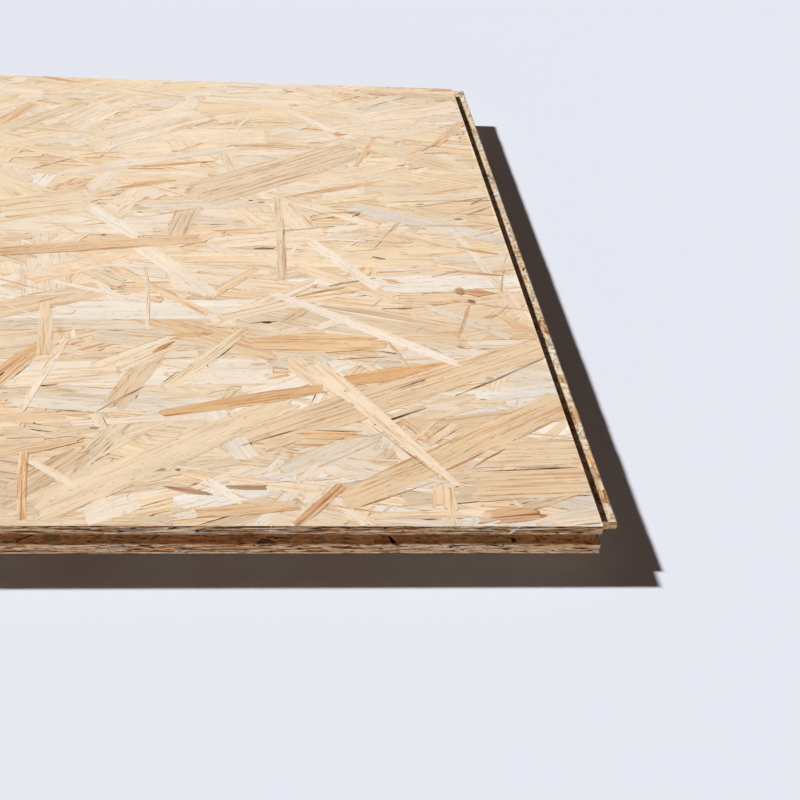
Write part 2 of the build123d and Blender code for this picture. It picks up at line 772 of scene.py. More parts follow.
@dataclass
class Patches:
    """Flat patches with their strands, ready to be lifted into place.

    A corner is a point of the surface together with the strand whose skin it lies on.
    """

    work: Patchwork
    flat: np.ndarray
    owner: np.ndarray
    faces: list[list[int]]
    face_owner: np.ndarray
    walls: list[list[int]]
    wall_owner: np.ndarray

    @classmethod
    def read(cls, work: Patchwork, bm: bmesh.types.BMesh, low: np.ndarray) -> "Patches":
        """Take the patches out of a flat mesh.

        Args:
            work: The patchwork that the mesh was cut from.
            bm: The flat mesh, whose faces hold their strand and zone.
            low: The place of the mesh's origin on the surface.

        Returns:
            The patches and the walls between those of different strands.
        """
        bm.verts.index_update()
        layer = bm.faces.layers.int["key"]
        corners: dict[tuple[int, int], int] = {}

        def corner(vertex: int, owner: int) -> int:
            """Number a point on one strand's skin."""
            return corners.setdefault((vertex, owner), len(corners))

        faces, face_owner, walls, wall_owner = [], [], [], []
        for face in bm.faces:
            owner = face[layer] // work.ZONES
            faces.append([corner(v.index, owner) for v in face.verts])
            face_owner.append(owner)
        depth = work.table["depth"]
        for edge in bm.edges:
            if len(edge.link_loops) != 2:
                continue
            first, second = edge.link_loops
            one, two = (loop.face[layer] // work.ZONES for loop in (first, second))
            if abs(depth[one] - depth[two]) < 1e-6:
                continue
            if depth[one] > depth[two]:
                one, two, first = two, one, second
            a, b = first.vert.index, first.link_loop_next.vert.index
            walls.append([corner(b, one), corner(a, one), corner(a, two), corner(b, two)])
            wall_owner.append(one)
        keys = np.array(list(corners), int).reshape(-1, 2)
        points = np.array([v.co.xy for v in bm.verts], float)
        flat = points[keys[:, 0]] + low
        return cls(work, flat, keys[:, 1], faces, np.array(face_owner, int), walls,
                   np.array(wall_owner, int))

    def local(self, flat: np.ndarray, owner: np.ndarray) -> np.ndarray:
        """Give points as distances along and across their strands."""
        table = self.work.table
        offset = flat - table["centre"][owner]
        c, s = np.cos(table["turn"][owner]), np.sin(table["turn"][owner])
        return np.column_stack([offset[:, 0] * c + offset[:, 1] * s,
                                offset[:, 1] * c - offset[:, 0] * s])

    def lift(self) -> np.ndarray:
        """Give every corner's place in space, in mm."""
        depth = self.work.table["depth"][self.owner]
        return self.work.surface.place(self.flat, depth * self.work.surface.fade(self.flat))


class Skin:
    """One piece of the panel: patches of one or more surfaces as a single mesh."""

    WALL_BREADTH = 0.0007

    def __init__(self, name: str) -> None:
        """Start an empty piece with its name."""
        self.name = name
        self.places: list[np.ndarray] = []
        self.loops: list[np.ndarray] = []
        self.sizes: list[np.ndarray] = []
        self.facts: dict[str, list[np.ndarray]] = {}
        self.count = 0

    def add(self, patches: Patches, bounds: tuple[Point, Point], tile: tuple[Span, Span]) -> None:
        """Take in the patches of one surface.

        Args:
            patches: The patches.
            bounds: Lowest and highest corner of the stretch of surface that they cover.
            tile: The part of the piece's square map that they take, across and up.
        """
        walls = len(patches.walls)
        polygons = patches.faces + patches.walls
        if patches.work.surface.flip:
            polygons = [p[::-1] for p in polygons]
        sizes = np.array([len(p) for p in polygons])
        loops = np.fromiter((corner for p in polygons for corner in p), int)
        owners = np.repeat(np.concatenate([patches.face_owner, patches.wall_owner]), sizes)
        flat = patches.flat[loops]
        is_wall = np.repeat(np.arange(len(polygons)) >= len(polygons) - walls, sizes)
        table = patches.work.table
        low, high = np.array(bounds[0]), np.array(bounds[1])
        share = np.clip((flat - low) / (high - low), 0, 1)
        low_side = is_wall & (patches.owner[loops] != owners)
        share = self._nudged(share, low_side, sizes)
        corners = np.array(tile).T
        facts = {
            BAKE_MAP: corners[0] + share * (corners[1] - corners[0]),
            "place": np.column_stack([patches.local(flat, owners), table["seed"][owners]]),
            # The third number marks walls, which the finish paints with shade
            "half": np.column_stack([table["half"][owners], is_wall]),
            "grain": table["grain"][owners],
            "ground": table["ground"][owners],
            "line": table["line"][owners],
        }
        self.places.append(patches.lift())
        self.loops.append(loops + self.count)
        self.sizes.append(sizes)
        for key, values in facts.items():
            self.facts.setdefault(key, []).append(values)
        self.count += len(patches.flat)

    @classmethod
    def _nudged(cls, share: np.ndarray, low_side: np.ndarray, sizes: np.ndarray) -> np.ndarray:
        """Give walls a little breadth on the map, so that their painted shade takes part in its
        picture, as a thin painted shadow at each wall's foot.

        Args:
            share: Where each corner lies on the stretch of surface, 0 to 1.
            low_side: Which corners lie at the foot of a wall.
            sizes: The number of corners of each face.

        Returns:
            The shares, with the feet of the walls moved aside.
        """
        starts = np.concatenate([[0], np.cumsum(sizes)[:-1]])
        four = starts[sizes == 4]
        moved = share.copy()
        rows = four[low_side[four] | low_side[four + 1] | low_side[four + 2]]
        run = share[rows] - share[rows + 1]
        length = np.maximum(np.hypot(*run.T), 1e-9)[:, None]
        across = np.column_stack([run[:, 1], -run[:, 0]]) / length * cls.WALL_BREADTH
        for corner in range(4):
            spots = rows + corner
            hit = low_side[spots]
            moved[spots[hit]] += across[hit]
        return np.clip(moved, 0, 1)

    def build(self, material: bpy.types.Material) -> bpy.types.Object:
        """Make the piece.

        Args:
            material: Its finish.

        Returns:
            The object, in place.
        """
        places = np.concatenate(self.places) * MM
        loops, sizes = np.concatenate(self.loops), np.concatenate(self.sizes)
        starts = np.concatenate([[0], np.cumsum(sizes)[:-1]])
        mesh = bpy.data.meshes.new(self.name)
        mesh.vertices.add(len(places))
        mesh.vertices.foreach_set("co", places.ravel())
        mesh.loops.add(len(loops))
        mesh.loops.foreach_set("vertex_index", loops)
        mesh.polygons.add(len(sizes))
        mesh.polygons.foreach_set("loop_start", starts)
        mesh.update(calc_edges=True)
        uv = mesh.uv_layers.new(name=BAKE_MAP)
        uv.uv.foreach_set("vector", np.concatenate(self.facts.pop(BAKE_MAP)).ravel())
        for key, parts in self.facts.items():
            values = np.concatenate(parts)
            if key in ("ground", "line"):
                layer = mesh.attributes.new(key, "FLOAT_COLOR", "CORNER")
                rows = np.column_stack([values, np.ones(len(values))])
                layer.data.foreach_set("color", rows.ravel())
            else:
                layer = mesh.attributes.new(key, "FLOAT_VECTOR", "CORNER")
                layer.data.foreach_set("vector", values.ravel())
        mesh.materials.append(material)
        mesh.shade_flat()
        mesh.validate(clean_customdata=False)
        piece = bpy.data.objects.new(self.name, mesh)
        bpy.context.scene.collection.objects.link(piece)
        return piece


Number = Union["Value", float]


class Value:
    """A number that varies over a surface. Arithmetic on it adds Math nodes to its material."""

    def __init__(self, finish: "Nodes", socket: bpy.types.NodeSocket) -> None:
        """Wrap an output socket."""
        self.finish, self.socket = finish, socket

    def _math(self, operation: str, *terms: Number, clamp: bool = False) -> "Value":
        """Add a Math node.

        Args:
            operation: What it works out.
            terms: Its inputs, in order.
            clamp: Whether the result is kept between 0 and 1.

        Returns:
            Its result.
        """
        settings = {"operation": operation, "use_clamp": clamp}
        return self.finish.node("ShaderNodeMath", settings, dict(enumerate(terms))).value()

    def __add__(self, other: Number) -> "Value":
        """Add."""
        return self._math("ADD", self, other)

    __radd__ = __add__

    def __sub__(self, other: Number) -> "Value":
        """Take away."""
        return self._math("SUBTRACT", self, other)

    def __rsub__(self, other: Number) -> "Value":
        """Take this away from something."""
        return self._math("SUBTRACT", other, self)

    def __mul__(self, other: Number) -> "Value":
        """Multiply."""
        return self._math("MULTIPLY", self, other)

    __rmul__ = __mul__

    def __truediv__(self, other: Number) -> "Value":
        """Divide."""
        return self._math("DIVIDE", self, other)

    def __pow__(self, other: Number) -> "Value":
        """Raise to a power."""
        return self._math("POWER", self, other)

    def clamp(self) -> "Value":
        """Keep between 0 and 1."""
        return self._math("ADD", self, 0.0, clamp=True)

    def fraction(self) -> "Value":
        """Keep what follows the whole number."""
        return self._math("FRACT", self)

    def size(self) -> "Value":
        """Drop the sign."""
        return self._math("ABSOLUTE", self)

    def least(self, other: Number) -> "Value":
        """Take the smaller."""
        return self._math("MINIMUM", self, other)

    def step(self, low: Number, high: Number, first: Number = 0.0, last: Number = 1.0) -> "Value":
        """Rise smoothly between two values.

        Args:
            low: Where the rise starts.
            high: Where it ends.
            first: Result up to the start.
            last: Result from the end on.

        Returns:
            The result.
        """
        inputs = {"Value": self, "From Min": low, "From Max": high, "To Min": first,
                  "To Max": last}
        settings = {"interpolation_type": "SMOOTHSTEP"}
        return self.finish.node("ShaderNodeMapRange", settings, inputs).value("Result")


class Placed:
    """A node with its outputs to read."""

    def __init__(self, finish: "Nodes", node: bpy.types.Node) -> None:
        """Wrap a node of a finish."""
        self.finish, self.node = finish, node

    def value(self, output: Union[str, int] = 0) -> Value:
        """Read an output as a number."""
        return Value(self.finish, self.node.outputs[output])

    def socket(self, output: Union[str, int] = 0) -> bpy.types.NodeSocket:
        """Read an output as it is."""
        return self.node.outputs[output]


Feed = Union[Value, bpy.types.NodeSocket, float, Sequence[float]]


class Nodes:
    """The nodes of one material or of the world, added from Python expressions."""

    def __init__(self, tree: bpy.types.NodeTree) -> None:
        """Start with an empty tree."""
        self.tree = tree
        tree.nodes.clear()

    def node(self, kind: str, settings: Optional[dict[str, object]] = None,
             inputs: Optional[dict[Union[str, int], Feed]] = None) -> Placed:
        """Add a node.

        Args:
            kind: Its type.
            settings: What is set on the node itself, before its sockets.
            inputs: Values or links for its sockets, by name or number.

        Returns:
            The node.
        """
        made = self.tree.nodes.new(kind)
        for key, setting in (settings or {}).items():
            setattr(made, key, setting)
        for key, feed in (inputs or {}).items():
            feed = feed.socket if isinstance(feed, Value) else feed
            if isinstance(feed, bpy.types.NodeSocket):
                self.tree.links.new(feed, made.inputs[key])
            else:
                made.inputs[key].default_value = feed
        return Placed(self, made)

    def attribute(self, name: str) -> Placed:
        """Read what a mesh says at its corners."""
        return self.node("ShaderNodeAttribute", {"attribute_name": name})

    def parts(self, vector: bpy.types.NodeSocket) -> tuple[Value, Value, Value]:
        """Part a vector into three numbers."""
        apart = self.node("ShaderNodeSeparateXYZ", inputs={0: vector})
        return apart.value(0), apart.value(1), apart.value(2)

    def vector(self, x: Feed, y: Feed, z: Feed) -> bpy.types.NodeSocket:
        """Join three numbers as a vector."""
        return self.node("ShaderNodeCombineXYZ", inputs={0: x, 1: y, 2: z}).socket()

    def noise(self, x: Feed, y: Feed, z: Feed, detail: float = 2.0, rough: float = 0.5) -> Value:
        """Read a noise field, 0 to 1, at a place given in its own cells."""
        inputs = {"Vector": self.vector(x, y, z), "Scale": 1.0, "Detail": detail,
                  "Roughness": rough}
        return self.node("ShaderNodeTexNoise", {}, inputs).value(0)

    def mix(self, share: Feed, first: Feed, second: Feed) -> bpy.types.NodeSocket:
        """Mix two colours.

        Args:
            share: How much of the second, 0 to 1.
            first: The colour below.
            second: The colour above.

        Returns:
            The mixed colour.
        """
        settings = {"data_type": "RGBA"}
        return self.node("ShaderNodeMix", settings, {0: share, 6: first, 7: second}).socket(2)

    def dim(self, colour: Feed, level: Value) -> bpy.types.NodeSocket:
        """Scale a colour by a number that varies."""
        settings = {"operation": "SCALE"}
        return self.node("ShaderNodeVectorMath", settings, {0: colour, "Scale": level}).socket()


@dataclass(frozen=True)
class Figure:
    """A pattern of noise in the wood, which runs with the strand.

    Along and across are its cells to a millimetre, and offset is its place past the strand's
    own seed. Where it only shows in parts, shown is the span over which it rises.
    """

    along: float
    across: float
    offset: float
    detail: float = 2.0
    rough: float = 0.5
    shown: Optional[Span] = None


class Pattern(Enum):
    """The patterns that a strand's wood is made up of."""

    SWAY = Figure(0.011, 0.045, 0.0, 1.0)
    SWIRL = Figure(0.05, 0.12, 31.0)
    PATCHY = Figure(0.016, 0.14, 57.0, shown=(0.35, 0.62))
    STREAK = Figure(0.018, 0.42, 11.0, 3.0, 0.6)
    FIBRE = Figure(0.055, 1.5, 17.0, 3.0, 0.6)
    BLOTCH = Figure(0.022, 0.07, 23.0)
    DRIFT = Figure(0.013, 0.05, 91.0, 1.0)
    RAG = Figure(0.22, 0.4, 41.0)
    BRUISED = Figure(0.05, 0.0, 43.0, shown=(0.44, 0.6))
    FLECK = Figure(0.13, 1.3, 71.0, rough=0.65, shown=(0.64, 0.71))
    MEET = Figure(0.03, 0.1, 101.0, shown=(0.4, 0.6))
    PORE = Figure(0.35, 1.7, 83.0, 3.0, 0.7)
    CLUMP = Figure(0.14, 0.35, 87.0, rough=0.6, shown=(0.48, 0.66))


@dataclass(frozen=True)
class StrandFinish:
    """Softwood flakes as they lie in the panel's skin: growth lines, fibres and bruised sides.

    Every strand brings its own colours, grain and place, which the mesh holds at its corners.
    Shares say how strongly each part of the pattern shows, widths are in millimetres, common is
    the colour that neighbours share where they run into each other, and torn and clump_share
    are the pores and the shaded hollows of milled wood. The walls of the steps between strands
    are painted darker and browner, as shade.
    """

    name: str
    roughness: float = 0.58
    rough_spread: Span = (-0.06, 0.08)
    gloss: float = 0.3
    line_share: float = 1.5
    line_power: float = 2.5
    line_end: Span = (0.86, 1.0)
    line_least: float = 0.2
    sway_reach: float = 14.0
    swirl_reach: float = 2.0
    streak_share: float = 3.3
    streak_middle: float = 0.49
    fibre_share: float = 2.7
    fibre_middle: float = 0.48
    fine_least: float = 0.55
    fine_gain: float = 0.6
    drift_share: float = 0.9
    blotch_share: float = 0.30
    blend_width: float = 2.6
    blend_share: float = 0.6
    common: Colour = linear(246, 223, 191)
    edge_width: Span = (0.05, 1.6)
    edge_share: float = 0.6
    tip_share: float = 0.7
    # Painted shade on the walls between strands: light kept and turn to the line colour
    wall_shade_level: float = 0.7
    wall_shade_warmth: float = 0.35
    fleck_share: float = 0.62
    relief: float = 0.00010
    fine_height: Span = (0.6, 0.3)
    line_sink: float = 0.3
    fleck_sink: float = 0.6
    torn: float = 0.0
    torn_shown: Span = (0.5, 0.7)
    torn_sink: float = 1.2
    clump_share: float = 0.5

    def build(self) -> bpy.types.Material:
        """Make the material."""
        material = bpy.data.materials.new(self.name)
        material.use_nodes = True
        n = Nodes(material.node_tree)
        u, v, seed = n.parts(n.attribute("place").socket("Vector"))
        half_length, half_breadth, wall = n.parts(n.attribute("half").socket("Vector"))
        pitch, curl, lines = n.parts(n.attribute("grain").socket("Vector"))

        def read(pattern: Pattern, least: float = 0.0) -> Value:
            """Read one pattern of the wood, of which least is left where it doesn't show."""
            figure = pattern.value
            noise = n.noise(u * figure.along, v * figure.across, seed + figure.offset,
                            figure.detail, figure.rough)
            return noise.step(*figure.shown, least) if figure.shown else noise

        sway = (read(Pattern.SWAY) - 0.5) * (curl * self.sway_reach)
        swirl = (read(Pattern.SWIRL) - 0.5) * (curl * self.swirl_reach)
        ring = (v / pitch + sway + swirl).fraction()
        late = ring ** self.line_power * (1.0 - ring.step(*self.line_end))
        late = late * read(Pattern.PATCHY, self.line_least) * lines
        streak, fibre, fleck = (read(p) for p in (Pattern.STREAK, Pattern.FIBRE, Pattern.FLECK))

        side = half_breadth - v.size()
        tip = half_length - u.size()
        narrowest, widest = self.edge_width
        bruised_to = read(Pattern.RAG) * widest + narrowest
        bruise = side.least(tip * self.tip_share).step(0.0, bruised_to, 1.0, 0.0)
        bruise = bruise * read(Pattern.BRUISED)
        meet = side.least(tip).step(0.0, self.blend_width, self.blend_share, 0.0)
        meet = meet * read(Pattern.MEET)

        fine = (self.streak_middle - streak) * self.streak_share
        fine = fine + (self.fibre_middle - fibre) * self.fibre_share
        warm = late * self.line_share + fine * (self.fine_least + lines * self.fine_gain)
        warm = warm + (read(Pattern.DRIFT) - 0.5) * self.drift_share
        # Painted shade: walls turn toward the growth-line colour
        warm = warm + bruise * self.edge_share + wall * self.wall_shade_warmth
        ground = n.mix(meet * (1.0 - wall), n.attribute("ground").socket("Color"),
                       (*self.common, 1.0))
        stain = n.mix(warm.clamp(), ground, n.attribute("line").socket("Color"))
        level = 1.0 + (read(Pattern.BLOTCH) - 0.5) * self.blotch_share
        level = level * (1.0 - fleck * self.fleck_share)
        # Painted shade: walls are darkened
        level = level * (1.0 - wall * (1.0 - self.wall_shade_level))
        fibre_height, streak_height = self.fine_height
        height = fibre * fibre_height + streak * streak_height
        height = height - late * self.line_sink - fleck * self.fleck_sink
        if self.torn:
            pores = read(Pattern.PORE)
            level = level * (1.0 - pores.step(*self.torn_shown) * self.torn)
            level = level * (1.0 - read(Pattern.CLUMP) * self.clump_share)
            height = height - pores * self.torn_sink
        bump = n.node("ShaderNodeBump", {}, {"Strength": 1.0, "Distance": self.relief,
                                             "Height": height})
        smooth, coarse = (self.roughness + part for part in self.rough_spread)
        rough = fibre.step(0.2, 0.8, smooth, coarse)
        shader = n.node("ShaderNodeBsdfPrincipled", {}, {
            "Base Color": n.dim(stain, level), "Roughness": rough, "Normal": bump.socket(),
            "Specular IOR Level": self.gloss})
        n.node("ShaderNodeOutputMaterial", {}, {"Surface": shader.socket()})
        return material


@dataclass(frozen=True)
class FloorFinish:
    """The pale studio floor, which is clear from below."""

    name: str = "studio_paper"
    colour: Colour = linear(230, 234, 244)

    def build(self) -> bpy.types.Material:
        """Make the material."""
        material = bpy.data.materials.new(self.name)
        material.use_nodes = True
        n = Nodes(material.node_tree)
        paper = n.node("ShaderNodeBsdfDiffuse", {}, {"Color": (*self.colour, 1.0)})
        clear = n.node("ShaderNodeBsdfTransparent")
        under = n.node("ShaderNodeNewGeometry").value("Backfacing")
        both = n.node("ShaderNodeMixShader", {}, {0: under, 1: paper.socket(),
                                                  2: clear.socket()})
        n.node("ShaderNodeOutputMaterial", {}, {"Surface": both.socket()})
        return material


@dataclass(frozen=True)
class Viewpoint:
    """The camera: its place in mm, its turn in degrees and its reach in pixels."""

    place: tuple[float, float, float] = (986.71, -1200.50, 625.88)
    yaw: float = 8.971
    pitch: float = 30.632
    roll: float = 5.143
    reach: float = 2000.0
    picture: float = 800.0
    sensor: float = 36.0
    shift: Point = (0.3, 0.5)

    def axes(self) -> np.ndarray:
        """Give the camera's right, up and backward directions, as rows."""
        yaw, pitch, roll = (math.radians(a) for a in (self.yaw, self.pitch, self.roll))
        ahead = np.array([math.sin(yaw) * math.cos(pitch), math.cos(yaw) * math.cos(pitch),
                          -math.sin(pitch)])
        level = np.array([math.cos(yaw), -math.sin(yaw), 0.0])
        upright = np.cross(level, ahead)
        right = level * math.cos(roll) + upright * math.sin(roll)
        up = upright * math.cos(roll) - level * math.sin(roll)
        return np.array([right, up, -ahead])

    def on_top(self, x: float, y: float) -> np.ndarray:
        """Find the place on the panel's top that shows at a pixel of the picture.

        Args:
            x: Pixels from the picture's left.
            y: Pixels from its top.

        Returns:
            Its x and y in mm.
        """
        aside, down = (self.picture / 2 + part for part in self.shift)
        right, up, back = self.axes()
        ray = right * (x - aside) / self.reach - up * (y - down) / self.reach - back
        run = (BOARD.thickness - self.place[2]) / ray[2]
        return (np.array(self.place) + ray * run)[:2]

    def build(self) -> None:
        """Make the camera and set it as the scene's."""
        data = bpy.data.cameras.new("viewpoint")
        data.sensor_width = self.sensor
        data.lens = self.sensor * self.reach / self.picture
        data.shift_x, data.shift_y = (-self.shift[0] / self.picture, self.shift[1] / self.picture)
        data.clip_start, data.clip_end = 0.05, 200.0
        camera = bpy.data.objects.new("viewpoint", data)
        turn = Matrix(self.axes().T.tolist()).to_4x4()
        camera.matrix_world = Matrix.Translation(Vector(self.place) * MM) @ turn
        bpy.context.scene.collection.objects.link(camera)
        bpy.context.scene.camera = camera


@dataclass(frozen=True)
class Studio:
    """The floor, the laths that the panel lies on, and the light.

    Lengths are in millimetres but for the floor's spread, in metres. Fill is the soft light all
    round. Glow is the warm band low down in front; its spans run over the direction forward,
    and over the height at its foot and at its head.
    """

    drop: float = 15.0
    spread: float = 90.0
    inset: float = 110.0
    lath: float = 50.0
    laths: tuple[float, ...] = (-900.0, 0.0, 900.0)
    lath_play: float = 0.05
    lath_sink: float = 0.02
    shadow_run: Point = (1.055, -0.35)
    sun: float = 4.40
    sun_angle: float = 3.6
    fill: float = 0.044
    glow: float = 2.45
    glow_colour: Colour = linear(255, 226, 196)
    glow_front: Span = (0.72, 0.92)
    glow_foot: Span = (-0.01, 0.03)
    glow_head: Span = (0.16, 0.28)
    sky: Colour = linear(252, 212, 202)

    def build(self) -> None:
        """Make all of it."""
        paper = FloorFinish().build()
        half = self.spread / 2
        corners = [(-half, -half), (half, -half), (half, half), (-half, half)]
        floor = self._slab("floor", [(x, y, -self.drop * MM) for x, y in corners], [(0, 1, 2, 3)])
        for thing in (floor, *(self._lath(place) for place in self.laths)):
            thing.data.materials.append(paper)
        self._sun()
        self._sky()

    @staticmethod
    def _slab(name: str, places: list[tuple[float, ...]], faces: list[tuple[int, ...]]
              ) -> bpy.types.Object:
        """Make an object of flat faces."""
        mesh = bpy.data.meshes.new(name)
        mesh.from_pydata(places, [], faces)
        thing = bpy.data.objects.new(name, mesh)
        bpy.context.scene.collection.objects.link(thing)
        return thing

    def _lath(self, place: float) -> bpy.types.Object:
        """Make one of the laths under the panel, out of sight, that hold it off the floor.

        Args:
            place: Where the lath lies along the panel, in mm.

        Returns:
            The lath.
        """
        bm = bmesh.new()
        bmesh.ops.create_cube(bm, size=1.0)
        low, high = BOARD.near + self.inset, BOARD.far - self.inset
        size = Vector((self.lath, high - low, self.drop - self.lath_play)) * MM
        bmesh.ops.scale(bm, vec=size, verts=bm.verts)
        middle = Vector((place, (low + high) / 2, -self.drop / 2 - self.lath_sink)) * MM
        bmesh.ops.translate(bm, vec=middle, verts=bm.verts)
        mesh = bpy.data.meshes.new("lath")
        bm.to_mesh(mesh)
        bm.free()
        thing = bpy.data.objects.new("lath", mesh)
        bpy.context.scene.collection.objects.link(thing)
        return thing

    def _sun(self) -> None:
        """Hang the one strong light, whose shadows run as the picture's do."""
        data = bpy.data.lights.new("sun", "SUN")
        data.energy = self.sun
        data.angle = math.radians(self.sun_angle)
        lamp = bpy.data.objects.new("sun", data)
        toward = Vector((*self.shadow_run, -1.0))
        lamp.rotation_mode = "QUATERNION"
        lamp.rotation_quaternion = toward.to_track_quat("-Z", "Y")
        bpy.context.scene.collection.objects.link(lamp)

    def _sky(self) -> None:
        """Light all round softly and low down in front, and show white past the floor."""
        world = bpy.data.worlds.new("studio")
        world.use_nodes = True
        bpy.context.scene.world = world
        n = Nodes(world.node_tree)
        soft = n.node("ShaderNodeBackground", {}, {"Color": (*self.sky, 1.0),
                                                   "Strength": self.fill})
        warm = n.node("ShaderNodeBackground", {}, {"Color": (*self.glow_colour, 1.0),
                                                   "Strength": self.glow})
        white = n.node("ShaderNodeBackground", {}, {"Color": (1.0, 1.0, 1.0, 1.0),
                                                    "Strength": 1.0})
        _, y, z = n.parts(n.node("ShaderNodeTexCoord").socket("Generated"))
        front = (0.0 - y).step(*self.glow_front) * z.step(*self.glow_foot)
        front = front * (1.0 - z.step(*self.glow_head))
        around = n.node("ShaderNodeMixShader", {}, {0: front, 1: soft.socket(), 2: warm.socket()})
        seen = n.node("ShaderNodeLightPath").value("Is Camera Ray")
        both = n.node("ShaderNodeMixShader", {}, {0: seen, 1: around.socket(),
                                                  2: white.socket()})
        n.node("ShaderNodeOutputWorld", {}, {"Surface": both.socket()})


@dataclass(frozen=True)
class PhotoStrand:
    """A strand that the picture shows: its middle line and breadth in the picture's pixels.

    Slit says how readily dark slits, whose colour is painted shade, open along its sides. A
    strand that is only a hair broad has a livelier outline than the others.
    """

    HAIR = 2.3
    HAIR_OUTLINE = (10.0, 0.14)
    OUTLINE = (45.0, 0.018)
    SUNK = 0.02

    start: Point
    end: Point
    breadth: float
    tone: Tone
    pointed: float = 0.05
    lines: float = 0.7
    level: float = 0.9
    slit: float = 0.0
    shade: float = 1.0
    pitch: float = 0.0
    narrow: float = 0.0

    def laid(self, view: Viewpoint, seed: int) -> Strand:
        """Lay the strand on the panel's top, where the camera sees it.

        Args:
            view: The camera.
            seed: Start of its random numbers.

        Returns:
            The strand.
        """
        first, last = view.on_top(*self.start), view.on_top(*self.end)
        run = last - first
        length = float(np.hypot(*run))
        middle = (np.array(self.start) + self.end) / 2
        step = np.array(self.end, float) - self.start
        side = np.array([-step[1], step[0]]) / np.hypot(*step) * self.breadth / 2
        across = view.on_top(*(middle + side)) - view.on_top(*(middle - side))
        breadth = abs(float(run[0] * across[1] - run[1] * across[0])) / length
        span, wave = self.HAIR_OUTLINE if self.breadth < self.HAIR else self.OUTLINE
        return Strand(tuple((first + last) / 2), length, breadth, math.atan2(run[1], run[0]),
                      self.tone, self.level, seed, depth=self.SUNK, pointed=self.pointed,
                      span=span, wave=wave, lines=self.lines, shade=self.shade,
                      pitch=self.pitch, narrow=self.narrow)


